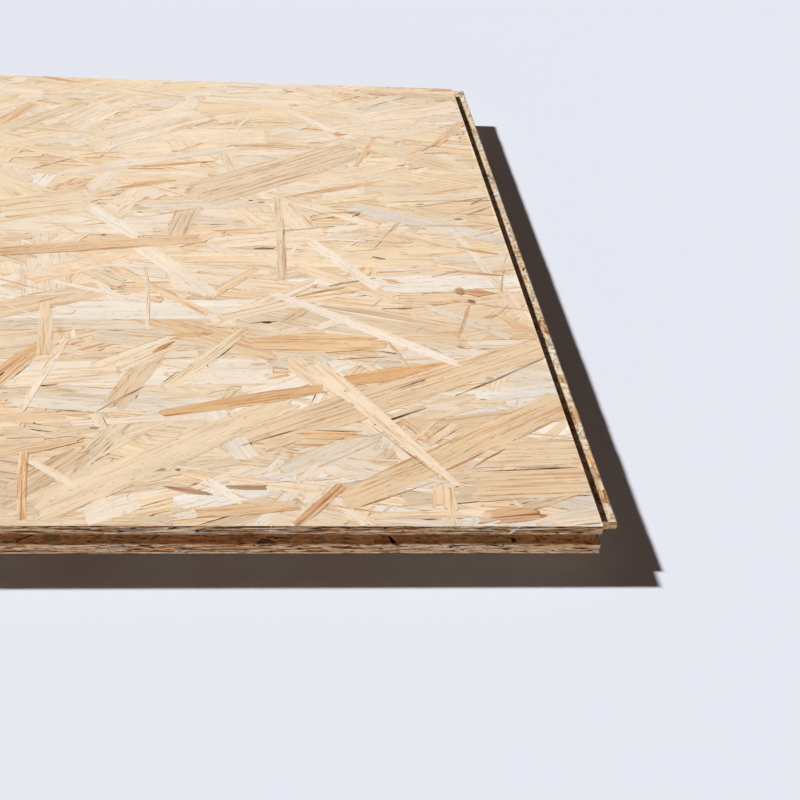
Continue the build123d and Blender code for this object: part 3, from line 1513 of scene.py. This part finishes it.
class Seen(Enum):
    """The strands near the panel's corner that stand out in the picture."""

    HONEY_BY_LEFT_RIM = PhotoStrand((0, 122), (34, 103), 8, Tone.TAN)
    ROSE_LINED_BESIDE_IT = PhotoStrand((3, 130), (83, 103), 9, Tone.STRAW, lines=1.0)
    IVORY_FAR_LEFT = PhotoStrand((70, 126), (113, 106), 19, Tone.CREAM)
    SWIRL_FAR_LEFT = PhotoStrand((103, 138), (200, 112), 24, Tone.CREAM, lines=1.0)
    CROSS_PATCH = PhotoStrand((124, 152), (172, 148), 15, Tone.CREAM)
    THIN_HONEY_ONE = PhotoStrand((78, 155), (119, 152), 3, Tone.TAN, 0.8)
    THIN_HONEY_TWO = PhotoStrand((129, 166), (215, 161), 4, Tone.TAN, 0.8)
    STRONG_HONEY = PhotoStrand((119, 188), (172, 180), 5, Tone.HONEY, 0.6, level=0.95)
    IVORY_FAR_RIGHT = PhotoStrand((369, 118), (458, 106), 12, Tone.CREAM)
    ROSE_WEDGE = PhotoStrand((395, 100), (457, 114), 5, Tone.SAND, 0.8)
    KNOT_CHIP = PhotoStrand((333, 134), (343, 134), 4, Tone.RUST, 0.5)
    BROWN_DIAGONAL = PhotoStrand((355, 167), (374, 138), 6, Tone.TAN, 0.3, level=0.96)
    ORANGE_ROSE = PhotoStrand((435, 146), (462, 122), 8, Tone.TAN, 0.2)
    THIN_ROSE_FAR = PhotoStrand((394, 163), (432, 145), 3, Tone.SAND, 0.8)
    WIDE_TAN = PhotoStrand((200, 195), (355, 150), 28, Tone.SAND, 0.15, lines=0.9, level=0.86,
                           pitch=6.0)
    WIDE_HONEY_LEFT = PhotoStrand((0, 208), (93, 198), 24, Tone.STRAW, lines=0.9, level=0.87,
                                  pitch=7.0)
    THIN_ORANGE = PhotoStrand((286, 197), (383, 181), 4.5, Tone.TAN, 0.7)
    UPRIGHT_TAN = PhotoStrand((277, 197), (282, 279), 9, Tone.SAND, level=0.93, slit=0.6,
                              pitch=3.5)
    PALE_DIAGONAL = PhotoStrand((91, 207), (138, 238), 11, Tone.IVORY, 0.2, level=0.94)
    PALE_DIAGONAL_ON = PhotoStrand((141, 246), (212, 295), 15, Tone.IVORY, 0.2, level=0.92)
    LONG_BROWN = PhotoStrand((-8, 251), (203, 238), 10, Tone.TAN, 0.1, level=0.95, slit=1.0,
                             shade=0.98)
    IVORY_DIAGONAL = PhotoStrand((310, 241), (376, 288), 10, Tone.IVORY, 0.3, level=0.95)
    WHITE_SLASH = PhotoStrand((272, 293), (458, 364), 9, Tone.IVORY, 0.4, 0.3, 0.99, 0.7, 0.98)
    HONEY_SLANT = PhotoStrand((208, 297), (256, 269), 8, Tone.SAND, 0.2)
    UPRIGHT_PALE = PhotoStrand((146, 267), (147, 330), 5, Tone.CREAM, 0.3, level=0.97)
    PALE_THIN = PhotoStrand((52, 281), (146, 301), 4, Tone.IVORY, 0.5, level=0.96)
    CROSS_ORANGE = PhotoStrand((45, 303), (44, 354), 14, Tone.SAND, lines=1.0, level=0.96,
                               pitch=3.5)
    IVORY_CHIP = PhotoStrand((53, 310), (71, 309), 9, Tone.IVORY)
    BEIGE_SLANT = PhotoStrand((19, 413), (67, 338), 8, Tone.CREAM, 0.2)
    RUST_GROUP_ONE = PhotoStrand((-10, 377), (42, 341), 9, Tone.HONEY, 0.4, 1.0, 0.96, 0.0,
                                 0.96, pitch=3.2)
    RUST_GROUP_TWO = PhotoStrand((-12, 392), (36, 352), 9, Tone.TAN, 0.3, 1.0, 0.95, 1.0,
                                 pitch=3.2)
    BEIGE_GREY = PhotoStrand((166, 388), (247, 329), 11, Tone.STRAW, 0.2, level=0.96, slit=0.8)
    ORANGE_DASH = PhotoStrand((168, 335), (210, 333.5), 4.5, Tone.HONEY, 0.8, 1.0, shade=0.88)
    ORANGE_DASH_LOW = PhotoStrand((153, 352), (174, 341), 4, Tone.HONEY, 0.6, 1.0, shade=0.85)
    WIDE_HONEY = PhotoStrand((249, 343), (382, 343), 21, Tone.TAN, 0.5, 0.9, 0.93, pitch=4.5)
    LONG_RUST = PhotoStrand((163, 413), (325, 388), 12, Tone.HONEY, 0.35, 1.0, 0.94, 1.0, 0.93,
                            pitch=3.0)
    LONG_RUST_ON = PhotoStrand((340, 382), (453, 366), 14, Tone.HONEY, 0.3, 1.0, 0.93, 0.5,
                               0.92, pitch=3.0)
    THIN_ROSE = PhotoStrand((368, 321), (420, 378), 3, Tone.TAN, 0.8, level=0.97)
    RUST_SLIVER = PhotoStrand((458, 338), (469, 305), 4, Tone.RUST, 0.6, level=0.97)
    HONEY_PATCH = PhotoStrand((461, 338), (487, 332), 12, Tone.SAND, 0.5)
    BROWN_CHIP_RIGHT = PhotoStrand((485, 318), (496, 315), 4, Tone.RUST, 0.4)
    BIG_SLANT_LEFT = PhotoStrand((38, 510), (290, 400), 27, Tone.STRAW, 0.12, 0.35, 0.9, 0.5,
                                 0.95, 6.0)
    BIG_SLANT_MIDDLE = PhotoStrand((250, 441), (545, 347), 29, Tone.SAND, 0.1, 0.7, 0.95, 0.5,
                                   0.96, pitch=4.0)
    BIG_SLANT_RIGHT = PhotoStrand((340, 503), (564, 401), 27, Tone.SAND, 0.12, 0.8, 0.94, 0.5,
                                  0.89, pitch=4.0)
    CREAM_BLADE = PhotoStrand((314, 364), (459, 486), 21, Tone.CREAM, 0.1, 0.6, 0.97, 0.0,
                              0.95, narrow=0.72)
    BLADE_LINE = PhotoStrand((372, 426), (438, 475.5), 1.4, Tone.RUST, 0.7, level=0.985,
                             shade=0.8)
    HONEY_BY_BLADE = PhotoStrand((387, 432), (404, 421), 8, Tone.HONEY, 0.5, 1.0, 0.96)
    # The cracks below are painted shade in slits beside the strands, almost flush with them
    CRACK_MIDDLE_ONE = PhotoStrand((241, 445.5), (300, 429), 1.7, Tone.UMBER, 0.6, level=0.99)
    CRACK_MIDDLE_TWO = PhotoStrand((374, 425), (425, 408.5), 1.9, Tone.SHADED_GAP, 0.6, level=0.96)
    CRACK_MIDDLE_THREE = PhotoStrand((455, 396), (543, 358.5), 1.8, Tone.UMBER, 0.5, level=0.99)
    CRACK_RIGHT_ONE = PhotoStrand((495, 418.5), (524, 407.5), 1.4, Tone.UMBER, 0.7, level=0.99)
    CRACK_RIGHT_TWO = PhotoStrand((473, 467.5), (505, 449), 1.9, Tone.UMBER, 0.7, level=0.99)
    CRACK_RIGHT_THREE = PhotoStrand((361, 506.5), (434, 482), 1.7, Tone.UMBER, 0.6, level=0.99,
                                    shade=1.2)
    CRACK_RUST = PhotoStrand((391, 391), (425, 379.5), 1.6, Tone.SHADED_GAP, 0.7, level=0.99)
    LINE_LEFT = PhotoStrand((97, 411), (143, 387), 2.2, Tone.RUST, 0.6, level=0.99, shade=0.8)
    LINE_LOW_LEFT = PhotoStrand((140, 507), (173, 498), 1.7, Tone.UMBER, 0.7, level=0.99)
    RUST_LENS = PhotoStrand((297, 434), (368, 436), 8, Tone.HONEY, 0.8, level=0.98, slit=0.8)
    CLUSTER_SAND = PhotoStrand((404, 418), (432, 438), 9, Tone.TAN, lines=1.0, slit=1.0,
                               pitch=2.0)
    CLUSTER_HONEY = PhotoStrand((426, 444), (458, 424), 8, Tone.SAND, slit=1.0)
    CLUSTER_ROSE = PhotoStrand((410, 442), (436, 420), 5, Tone.SAND, level=0.93)
    RIGHT_LINED_FAR = PhotoStrand((470, 455), (600, 451), 26, Tone.SAND, 0.05, 0.8, 0.91, 0.5,
                                  0.975, pitch=5.5)
    RIGHT_LINED_NEAR = PhotoStrand((474, 486), (608, 480), 28, Tone.SAND, 0.05, 1.0, 0.92, 0.5,
                                   0.895, pitch=5.0)
    THIN_TAN = PhotoStrand((-5, 456), (82, 439), 8, Tone.TAN, 0.4)
    IVORY_SLANT = PhotoStrand((31, 461), (77, 487), 8, Tone.CREAM, 0.3, level=0.95)
    CROSS_RUST = PhotoStrand((24, 449), (22, 520), 10, Tone.TAN, lines=1.0, level=0.93,
                             pitch=3.0)
    BROWN_LENS = PhotoStrand((165, 486.5), (213, 494.5), 7, Tone.RUST, 0.8, level=0.95,
                             shade=0.68)
    BROWN_LENS_ON = PhotoStrand((226, 487), (267, 487.5), 5.5, Tone.RUST, 0.3, level=0.95,
                                shade=0.68)
    IVORY_OVER_LENS = PhotoStrand((207, 480), (240, 502), 10, Tone.IVORY, 0.3, level=0.97)
    IVORY_NEAR_LEFT = PhotoStrand((80, 516), (136, 500), 22, Tone.CREAM, 0.1, 0.4)
    TAN_NEAR_RIM = PhotoStrand((195, 513), (300, 505), 12, Tone.TAN, 0.2, 0.9, shade=0.96)
    ROSE_CHIP = PhotoStrand((296, 525), (343, 485), 10, Tone.RUST, 0.1, 0.9, 0.98, 0.6, pitch=3.0)
    HONEY_CHIP = PhotoStrand((490, 517), (538, 512), 15, Tone.RUST, 0.05, 1.0, 0.97,
                             pitch=3.5)
    CROSS_CHIP = PhotoStrand((444, 486), (446, 508), 24, Tone.SAND, lines=1.0, level=0.96,
                             pitch=4.0)
    IVORY_NEAR_CORNER = PhotoStrand((538, 522), (610, 511), 13, Tone.BUFF, 0.3, 0.4, 0.95,
                                    shade=0.92)
    CORNER_CREAM = PhotoStrand((556, 525), (608, 518), 8, Tone.CREAM, 0.2, level=0.955,
                               shade=0.93)
    CORNER_CRACK = PhotoStrand((576, 524.8), (601, 523), 1.3, Tone.UMBER, 0.7, level=0.995)
    DASH_FAR = PhotoStrand((249, 200.5), (253.5, 200.5), 1.4, Tone.UMBER, 0.6, level=0.99)
    DASH_FAR_ON = PhotoStrand((258, 202.3), (265, 201.8), 1.6, Tone.UMBER, 0.6, level=0.99)
    DASH_LONG = PhotoStrand((324, 213), (362, 212), 1.4, Tone.RUST, 0.8, level=0.99)
    DASH_HIGH = PhotoStrand((397, 166), (405, 165), 1.6, Tone.UMBER, 0.6, level=0.99)
    DASH_RIGHT = PhotoStrand((454, 219), (462, 219), 1.8, Tone.UMBER, 0.6, level=0.99)
    KNOT_LEFT = PhotoStrand((90, 428), (99, 428), 3.0, Tone.UMBER, 0.5, level=0.99)
    KNOT_ONE = PhotoStrand((157, 471), (166, 469), 3.4, Tone.UMBER, 0.6, level=0.99)
    KNOT_TWO = PhotoStrand((176, 469), (181, 470), 3.4, Tone.UMBER, 0.5, level=0.99)
    ORANGE_LINE = PhotoStrand((417, 194), (446, 193), 2.4, Tone.HONEY, 0.8, level=0.98)
    DASH_ROSE_ONE = PhotoStrand((250, 364), (266, 364), 2.0, Tone.RUST, 0.7, level=0.98)
    DASH_OVER_SLASH = PhotoStrand((170, 339), (206, 332), 2.6, Tone.HONEY, 0.7, 1.0, 0.985)
    KNOT_RIGHT = PhotoStrand((453, 290.5), (467, 291.5), 8, Tone.RUST, 0.8, 1.0, 0.985,
                             shade=0.78)
    KNOT_RIGHT_ON = PhotoStrand((462, 292), (492, 293), 8, Tone.RUST, 0.8, 1.0, 0.984)
    CURL_RIGHT = PhotoStrand((467.5, 300), (475.5, 302.5), 3.5, Tone.UMBER, 0.5, level=0.985)
    ROSE_LINE_ONE = PhotoStrand((432, 276.5), (458, 271.2), 2.2, Tone.RUST, 0.6, level=0.985,
                                shade=0.9)
    ROSE_LINE_TWO = PhotoStrand((456, 271), (504, 275.7), 2.2, Tone.RUST, 0.6, level=0.985,
                                shade=0.95)
    ROSE_LINE_THREE = PhotoStrand((507, 254), (501, 292), 2.2, Tone.RUST, 0.6, level=0.985,
                                  shade=0.95)
    STREAK_RIGHT = PhotoStrand((457, 247), (498, 254), 4, Tone.TAN, 0.7, level=0.98)
    TAN_SMUDGE = PhotoStrand((385, 280), (399, 283), 5, Tone.TAN, 0.7, 1.0, 0.98, shade=0.95)
    DASH_SLANTED = PhotoStrand((352, 217), (361, 212), 1.8, Tone.UMBER, 0.6, level=0.99)
    DASH_UNDER_IVORY = PhotoStrand((329, 286), (376, 278), 1.9, Tone.RUST, 0.6, level=0.94,
                                   shade=0.75)
    DASH_OVER_IVORY = PhotoStrand((296, 296.5), (349, 286), 1.7, Tone.RUST, 0.6, level=0.94,
                                  shade=0.75)
    DASH_RING = PhotoStrand((372, 256.5), (385, 259), 2.2, Tone.UMBER, 0.6, level=0.94)
    DASH_MIDDLE = PhotoStrand((254, 248.5), (273, 248), 1.9, Tone.UMBER, 0.6, level=0.94)
    DASH_TOP_ONE = PhotoStrand((416, 204.5), (424, 203.8), 1.5, Tone.UMBER, 0.6, level=0.99)
    DASH_TOP_TWO = PhotoStrand((471, 204), (481, 199), 1.3, Tone.UMBER, 0.6, level=0.99)
    DASH_WIDE_HONEY = PhotoStrand((250, 323), (276, 321.5), 1.5, Tone.UMBER, 0.6, level=0.99)
    SPOT_WIDE_HONEY = PhotoStrand((263, 322.5), (271, 322), 2.2, Tone.SHADED_GAP, 0.5, level=0.995)
    DASH_CURLED = PhotoStrand((382, 308.5), (412, 308), 1.5, Tone.UMBER, 0.6, level=0.94)
    TAN_PATCH_ONE = PhotoStrand((284, 321), (308, 308), 9, Tone.TAN, 0.5, 1.0, 0.93, shade=0.96)
    TAN_PATCH_TWO = PhotoStrand((500, 315), (534, 334), 10, Tone.TAN, 0.5, 1.0, 0.93,
                                shade=0.98)
    DASH_UNDER_HONEY = PhotoStrand((337, 359.5), (388, 357), 1.3, Tone.UMBER, 0.6, level=0.97)
    HONEY_EDGE_LEFT = PhotoStrand((-5, 455), (86, 436), 3.0, Tone.HONEY, 0.6, 1.0, 0.985)


# Which tones strands of the faces and of the milled edges come in, as shares
SKIN_TONES: Palette = {
    Tone.IVORY: 0.11, Tone.CREAM: 0.28, Tone.STRAW: 0.27, Tone.SAND: 0.15, Tone.TAN: 0.07,
    Tone.HONEY: 0.02, Tone.RUST: 0.01, Tone.BUFF: 0.09,
}
SLIVER_TONES: Palette = {
    Tone.IVORY: 0.20, Tone.CREAM: 0.20, Tone.STRAW: 0.15, Tone.SAND: 0.15, Tone.TAN: 0.12,
    Tone.HONEY: 0.09, Tone.RUST: 0.05, Tone.ROSE: 0.04,
}
CUT_TONES: Palette = {
    Tone.IVORY: 0.08, Tone.CREAM: 0.14, Tone.STRAW: 0.18, Tone.SAND: 0.12, Tone.TAN: 0.20,
    Tone.HONEY: 0.20, Tone.RUST: 0.06, Tone.UMBER: 0.02,
}
# Tones of the rim line, a painted highlight near a milled face's lower arris
RIM_HIGHLIGHT_TONES: Palette = {Tone.CREAM: 0.3, Tone.STRAW: 0.4, Tone.SAND: 0.3}
GROOVE_TONES: Palette = {
    Tone.TAN: 0.16, Tone.HONEY: 0.10, Tone.SAND: 0.15, Tone.STRAW: 0.20, Tone.CREAM: 0.18,
    Tone.RUST: 0.05, Tone.UMBER: 0.12, Tone.SHADED_GAP: 0.04,
}
TONGUE_TONES: Palette = {
    Tone.IVORY: 0.16, Tone.CREAM: 0.28, Tone.STRAW: 0.24, Tone.SAND: 0.16, Tone.TAN: 0.08,
    Tone.HONEY: 0.05, Tone.RUST: 0.03,
}
# In the stretch that the picture shows, the strong tones are only where it has them
CALMED: dict[Tone, Tone] = {Tone.TAN: Tone.SAND, Tone.HONEY: Tone.STRAW, Tone.RUST: Tone.SAND}
CLOSED: dict[Tone, Tone] = {Tone.SAND: Tone.STRAW, Tone.IVORY: Tone.CREAM, Tone.BUFF: Tone.CREAM}
# The one tone of slits: painted shade inside them
GAP: Palette = {Tone.SHADED_GAP: 1.0}


class FaceCut(Enum):
    """The kinds of strand in the broad faces."""

    LONG = Cut(880, (90, 190), (10, 36), (0.05, 0.62), SKIN_TONES, depth=(0.0, 0.2))
    MIDDLE = Cut(820, (50, 130), (6, 22), (0.35, 0.80), SKIN_TONES, 26, 0.16, depth=(0.0, 0.18))
    CHIP = Cut(300, (9, 34), (4, 13), (0.45, 0.82), SKIN_TONES, 35, 0.3, depth=(0.0, 0.18))
    SLIVER = Cut(520, (24, 110), (1.3, 5.0), (0.5, 0.84), SLIVER_TONES, 20, 0.16, (0.5, 1.0),
                 depth=(0.0, 0.12))
    SPLINTER = Cut(420, (6, 30), (0.6, 1.6), (0.5, 0.84), SLIVER_TONES, 24, 0.2, (0.8, 1.0),
                   depth=(0.0, 0.12))


# Slits beside the strands of the faces, whose density is their number to each strand; their
# dark colour is painted shade inside them
SEEN_SLITS = Cut(1.0, (8, 60), (0.5, 1.2), (0, 1), GAP, depth=(0.4, 0.8), wave=0.12, span=9)
FACE_SLITS = Cut(0.40, (4, 34), (0.35, 1.0), (0, 1), GAP, depth=(0.4, 0.8), wave=0.12, span=12)
NEAR_SLITS = Cut(0.65, (3, 22), (0.5, 1.3), (0, 1), GAP, depth=(0.4, 0.9), wave=0.16, span=8)


class EdgeCut(Enum):
    """The kinds of strand that show in the milled edges."""

    SIDE = Cut(86000, (8, 52), (0.6, 1.5), (0, 0.9), CUT_TONES, 2.0, 0.02, (0.35, 0.9),
               span=8, depth=(0.0, 0.34), wave=0.16, lines=(0.0, 0.5), spread=0.15, past=8)
    END = Cut(95000, (5, 26), (0.6, 1.4), (0, 0.9), CUT_TONES, 3.5, 0.05, (0.35, 0.9),
              span=5, depth=(0.0, 0.36), wave=0.16, lines=(0.0, 0.5), spread=0.15, past=8)
    # Painted highlight: pale strands near a face's lower arris, on the lower face partly its paler
    # face layer
    RIM_HIGHLIGHT = Cut(7.0, (20, 160), (0.8, 1.4), (0.92, 0.97), RIM_HIGHLIGHT_TONES, 0.2, 0.0, (0.5, 0.9),
              span=10, depth=(0.0, 0.06), wave=0.16, lines=(0.0, 0.3))
    SHADOW_LINE = Cut(5.0, (5, 42), (0.4, 0.9), (0.93, 0.99), GAP, 0.8, 0.0, (0.6, 1.0),
                      span=6, depth=(0.3, 0.6), wave=0.2, lines=(0.0, 0.2))
    # Slits in the milled faces: dark strands, their colour painted shade inside the gaps
    SLIT = Cut(40000, (2.5, 12), (0.45, 1.1), (0.6, 1), GAP, 4.0, 0.04, (1.0, 1.0),
               span=5, depth=(0.5, 1.2), wave=0.16, lines=(0.0, 0.1))
    GROOVE = Cut(14000, (3, 14), (1.4, 6.0), (0, 1), GROOVE_TONES, 35, 0.55, (0.1, 0.6),
                 span=9, depth=(0.0, 0.3), wave=0.08, lines=(0.4, 1.0), spread=0.4, past=8)
    # Slits in the groove, painted shade inside them
    GROOVE_SLIT = Cut(12000, (2.5, 9), (0.7, 2.2), (0.8, 1), GAP, 16, 0.1, (0.9, 1.0),
                      span=5, depth=(0.6, 1.4), wave=0.14, lines=(0.0, 0.1))
    TONGUE = Cut(13500, (5, 32), (1.6, 6.5), (0, 1), TONGUE_TONES, 40, 0.4, (0.1, 0.6),
                 span=9, depth=(0.0, 0.24), wave=0.08, lines=(0.4, 1.0), spread=0.10, past=8)
    # Nicks in the tongue, painted shade inside them
    TONGUE_NICK = Cut(5200, (3, 10), (0.4, 1.3), (0.8, 1), GAP, 40, 0.7, (0.9, 1.0),
                      span=4, depth=(0.5, 1.1), wave=0.16, lines=(0.0, 0.1))
    # Slits in the tongue, painted shade inside them
    TONGUE_SLIT = Cut(9000, (2, 9), (0.3, 0.8), (0.8, 1), GAP, 60, 0.6, (1.0, 1.0),
                      span=5, depth=(0.5, 1.1), wave=0.14, lines=(0.0, 0.1))


# Patches of the tongue that the picture shows, by their distance in mm from its near end
TONGUE_SEEN: tuple[tuple[float, float, Tone], ...] = (
    (14.0, 27.0, Tone.CREAM), (36.5, 15.0, Tone.RUST), (124.0, 15.0, Tone.RUST),
    (133.0, 6.0, Tone.HONEY), (170.0, 10.0, Tone.HONEY), (236.0, 14.0, Tone.RUST),
)


@dataclass
class BroadFaceWork:
    """The strands of the top or the bottom, in tiles along the panel.

    With a camera, the stretch past shown_from is the one that its picture shows, and past
    closed_from that stretch is far off, so its strands are quieter and its slits closed. The last
    two fields are pairs of places and of the shares of light that strands keep between them: the
    first paints shade on the strands toward the near rim, the second makes them darker toward the
    right end.
    """

    SEEN_SEED = 7000
    SLITS_SHARE = 2.4
    BROAD = 4.0

    top: bool
    seed: int
    view: Optional[Viewpoint] = None
    tiles: int = 8
    cell: float = 78.0
    shown_from: float = 560.0
    closed_from: float = 82.0
    # Painted shade: strands keep less of their colour toward the near rim
    near_painted_shade: tuple[Span, Span] = ((BOARD.near, BOARD.near + 260), (0.92, 1.0))
    # Strands keep less of their colour toward the right end
    right_darkening: tuple[Span, Span] = ((1100, BOARD.right), (1.0, 0.95))

    @property
    def label(self) -> str:
        """Name of the face in its pieces' names."""
        return "top" if self.top else "bottom"

    def layup(self) -> Layup:
        """Lay all the strands of the face."""
        low, high = (BOARD.left, BOARD.near), (BOARD.right, BOARD.far)
        layup = Layup(low, high, self.seed, Tone.SAND, 0.3)
        laid = [s for kind in FaceCut for s in layup.scatter(kind.value)]
        if self.view:
            self._calm(laid)
            for number, seen in enumerate(Seen):
                strand = layup.add(seen.value.laid(self.view, self.SEEN_SEED + number))
                if seen.value.slit:
                    slits = replace(SEEN_SLITS, density=seen.value.slit * self.SLITS_SHARE)
                    layup.open_gaps([strand], slits)
        hosts = [s for s in laid if s.breadth > self.BROAD]
        if self.view:
            hosts = [s for s in hosts if not self._far_off(s)]
            layup.open_gaps([s for s in hosts if s.centre[0] > self.shown_from], NEAR_SLITS)
        layup.open_gaps(hosts, FACE_SLITS)
        return layup

    def _far_off(self, strand: Strand) -> bool:
        """Say whether a strand lies where the picture shows the panel from afar and closed up."""
        x, y = strand.centre
        return x > self.shown_from and y > self.closed_from

    def _calm(self, laid: Sequence[Strand]) -> None:
        """Quieten the strands the picture shows, paint shade near its rim, darken its right end.

        Args:
            laid: The strands laid at random.
        """
        for strand in laid:
            x, y = strand.centre
            if x > self.shown_from:
                if strand.breadth > self.BROAD:
                    strand.tone = CALMED.get(strand.tone, strand.tone)
                    if self._far_off(strand):
                        strand.tone = CLOSED.get(strand.tone, strand.tone)
                        strand.depth *= 0.5
                        strand.lines *= 0.6
                # Painted shade toward the near rim
                strand.shade *= float(np.interp(y, *self.near_painted_shade))
                # Darker toward the right end
                strand.shade *= float(np.interp(x, *self.right_darkening))

    def build(self, finish: bpy.types.Material) -> list[bpy.types.Object]:
        """Make the face's pieces.

        Args:
            finish: Their finish.

        Returns:
            The pieces, from the left end to the right.
        """
        work = Patchwork(BroadFace(self.top), self.layup(), (self.cell, self.cell))
        lines = np.linspace(BOARD.left, BOARD.right, self.tiles + 1)
        pieces = []
        for number, (x0, x1) in enumerate(zip(lines, lines[1:]), 1):
            low, high = (float(x0), BOARD.near), (float(x1), BOARD.far)
            skin = Skin(f"{self.label}_strands_{number}")
            skin.add(work.stretch(low, high), (low, high), ((0, 1), (0, 1)))
            pieces.append(skin.build(finish))
        return pieces


@dataclass
class EdgeWork:
    """One milled edge of the panel, in lengths along it.

    Strands in the groove and in the face below it are painted paler than the others by the two
    pale factors, as painted light for the bounce light that reaches them. The rim line, a row of
    pale strands near a face's lower arris, is a painted highlight, on the lower face partly also
    its paler face layer; the shadow line is painted shade under the top arris. Both lie along a
    face, beside its arrises.
    """

    SEEN_SEED = 8000
    SEEN_LEVEL = 0.79

    side: Side
    seed: int
    lengths: int
    cell: Point = (52.0, 30.0)
    fine: float = 0.6
    # Painted light: the groove's strands are made paler by this factor
    groove_painted_light: float = 1.25
    # Painted light: the lower face's strands are made paler by this factor
    lower_painted_light: float = 1.42
    # Where the painted highlight lies, from the face's lower arris
    rim_highlight_line: float = 0.7
    shadow_line: float = 0.95

    def bands(self) -> list[EdgeBand]:
        """Give the upper face, the tongue or groove, and the lower face."""
        top, ease = BOARD.thickness, BOARD.mouth_ease
        upper, lower = BOARD.groove_top, BOARD.groove_low
        if self.side.grooved:
            lines = [
                [(0, top), (0, upper + ease), (-ease, upper)],
                [(-depth, z) for depth, z in BOARD.groove()],
                [(-ease, lower), (0, lower - ease), (0, 0)],
            ]
        else:
            lines = [
                [(0, top), (0, upper)],
                BOARD.tongue(),
                [(0, BOARD.tongue_root), (0, 0)],
            ]
        return [EdgeBand(self.side, line) for line in lines]

    def layup(self, band: EdgeBand, middle: bool, seed: int) -> Layup:
        """Lay the cut strands that show in a band.

        Args:
            band: The band.
            middle: Whether it is the tongue or groove, not a face beside it.
            seed: Start of its random numbers.

        Returns:
            The strands.
        """
        low, high = (0.0, 0.0), (band.length, band.depth)
        # Between the strands of a face the bed is umber, painted shade in the voids between them
        bed = (Tone.TAN if self.side.grooved else Tone.STRAW) if middle else Tone.UMBER
        layup = Layup(low, high, seed, bed, 0.24 if middle else 0.4)
        if not middle:
            long_side = self.side in (Side.NEAR, Side.FAR)
            kinds = [EdgeCut.SIDE if long_side else EdgeCut.END, EdgeCut.SLIT]
            # Painted highlight: a row of pale strands near the face's lower arris
            layup.line_up(EdgeCut.RIM_HIGHLIGHT.value, band.depth - self.rim_highlight_line)
            if band.line[0][1] == BOARD.thickness:
                layup.line_up(EdgeCut.SHADOW_LINE.value, self.shadow_line)
        elif self.side.grooved:
            kinds = [EdgeCut.GROOVE, EdgeCut.GROOVE_SLIT]
        else:
            kinds = [EdgeCut.TONGUE, EdgeCut.TONGUE_SLIT]
        for kind in kinds:
            layup.scatter(kind.value)
        # Painted light: the groove and the face below it are made paler, for the bounce light on
        # them
        if self.side.grooved and band.line[0][1] < BOARD.thickness:
            for strand in layup.strands:
                strand.shade *= self.groove_painted_light if middle else self.lower_painted_light
        if middle and self.side is Side.RIGHT:
            layup.scatter(EdgeCut.TONGUE_NICK.value)
            for number, (along, length, tone) in enumerate(TONGUE_SEEN):
                layup.add(Strand((along, band.depth / 2), length, band.depth * 1.3, 0.0, tone,
                                 self.SEEN_LEVEL, self.SEEN_SEED + number, span=9, wave=0.08,
                                 lines=1.0))
        return layup

    def build(self, finish: bpy.types.Material) -> list[bpy.types.Object]:
        """Make the edge's pieces.

        Args:
            finish: Their finish.

        Returns:
            The pieces, from the edge's start to its end.
        """
        bands = self.bands()
        works = []
        for number, band in enumerate(bands):
            layup = self.layup(band, number == 1, self.seed + number)
            works.append(Patchwork(band, layup, self.cell, fine=self.fine))
        total = sum(band.depth for band in bands)
        lines = np.linspace(0, bands[0].length, self.lengths + 1)
        pieces = []
        for number, (t0, t1) in enumerate(zip(lines, lines[1:]), 1):
            skin = Skin(f"{self.side.name.lower()}_edge_{number}")
            base = 0.0
            for work in works:
                low, high = (float(t0), 0.0), (float(t1), work.surface.depth)
                up = base + work.surface.depth / total
                skin.add(work.stretch(low, high), (low, high), ((0, 1), (base, up)))
                base = up
            pieces.append(skin.build(finish))
        return pieces


class Panel:
    """The whole panel: two broad faces and four milled edges."""

    def __init__(self, view: Viewpoint) -> None:
        """Plan the panel's parts for a camera, whose picture shows one corner."""
        self.faces = [BroadFaceWork(True, 11, view), BroadFaceWork(False, 12)]
        self.edges = [
            EdgeWork(Side.NEAR, 21, 3), EdgeWork(Side.FAR, 31, 3),
            EdgeWork(Side.LEFT, 41, 1), EdgeWork(Side.RIGHT, 51, 1),
        ]

    def build(self) -> list[bpy.types.Object]:
        """Make every piece and hand it to the panel's body."""
        pressed = StrandFinish("pressed_strands").build()
        milled = StrandFinish("milled_strands", roughness=0.68, gloss=0.2, torn=0.42,
                              blend_share=0.0, relief=0.00025).build()
        pieces = []
        for work, finish in [*((f, pressed) for f in self.faces),
                             *((e, milled) for e in self.edges)]:
            for piece in work.build(finish):
                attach(piece, BODY)
                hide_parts(NODE)
                log.info("%s: %d faces", piece.name, len(piece.data.polygons))
                pieces.append(piece)
        return pieces


def corners(box: tuple[Vector, Vector]) -> list[list[float]]:
    """Give a box as plain lists of numbers."""
    return [list(corner) for corner in box]


def main() -> None:
    """Build the panel, its studio and its camera."""
    logging.basicConfig(level=logging.INFO, format="%(name)s %(message)s")
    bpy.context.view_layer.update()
    view = Viewpoint()
    view.build()
    Studio().build()
    pieces = Panel(view).build()
    bpy.context.scene.view_settings.view_transform = "Standard"


if __name__ == "__main__":
    main()
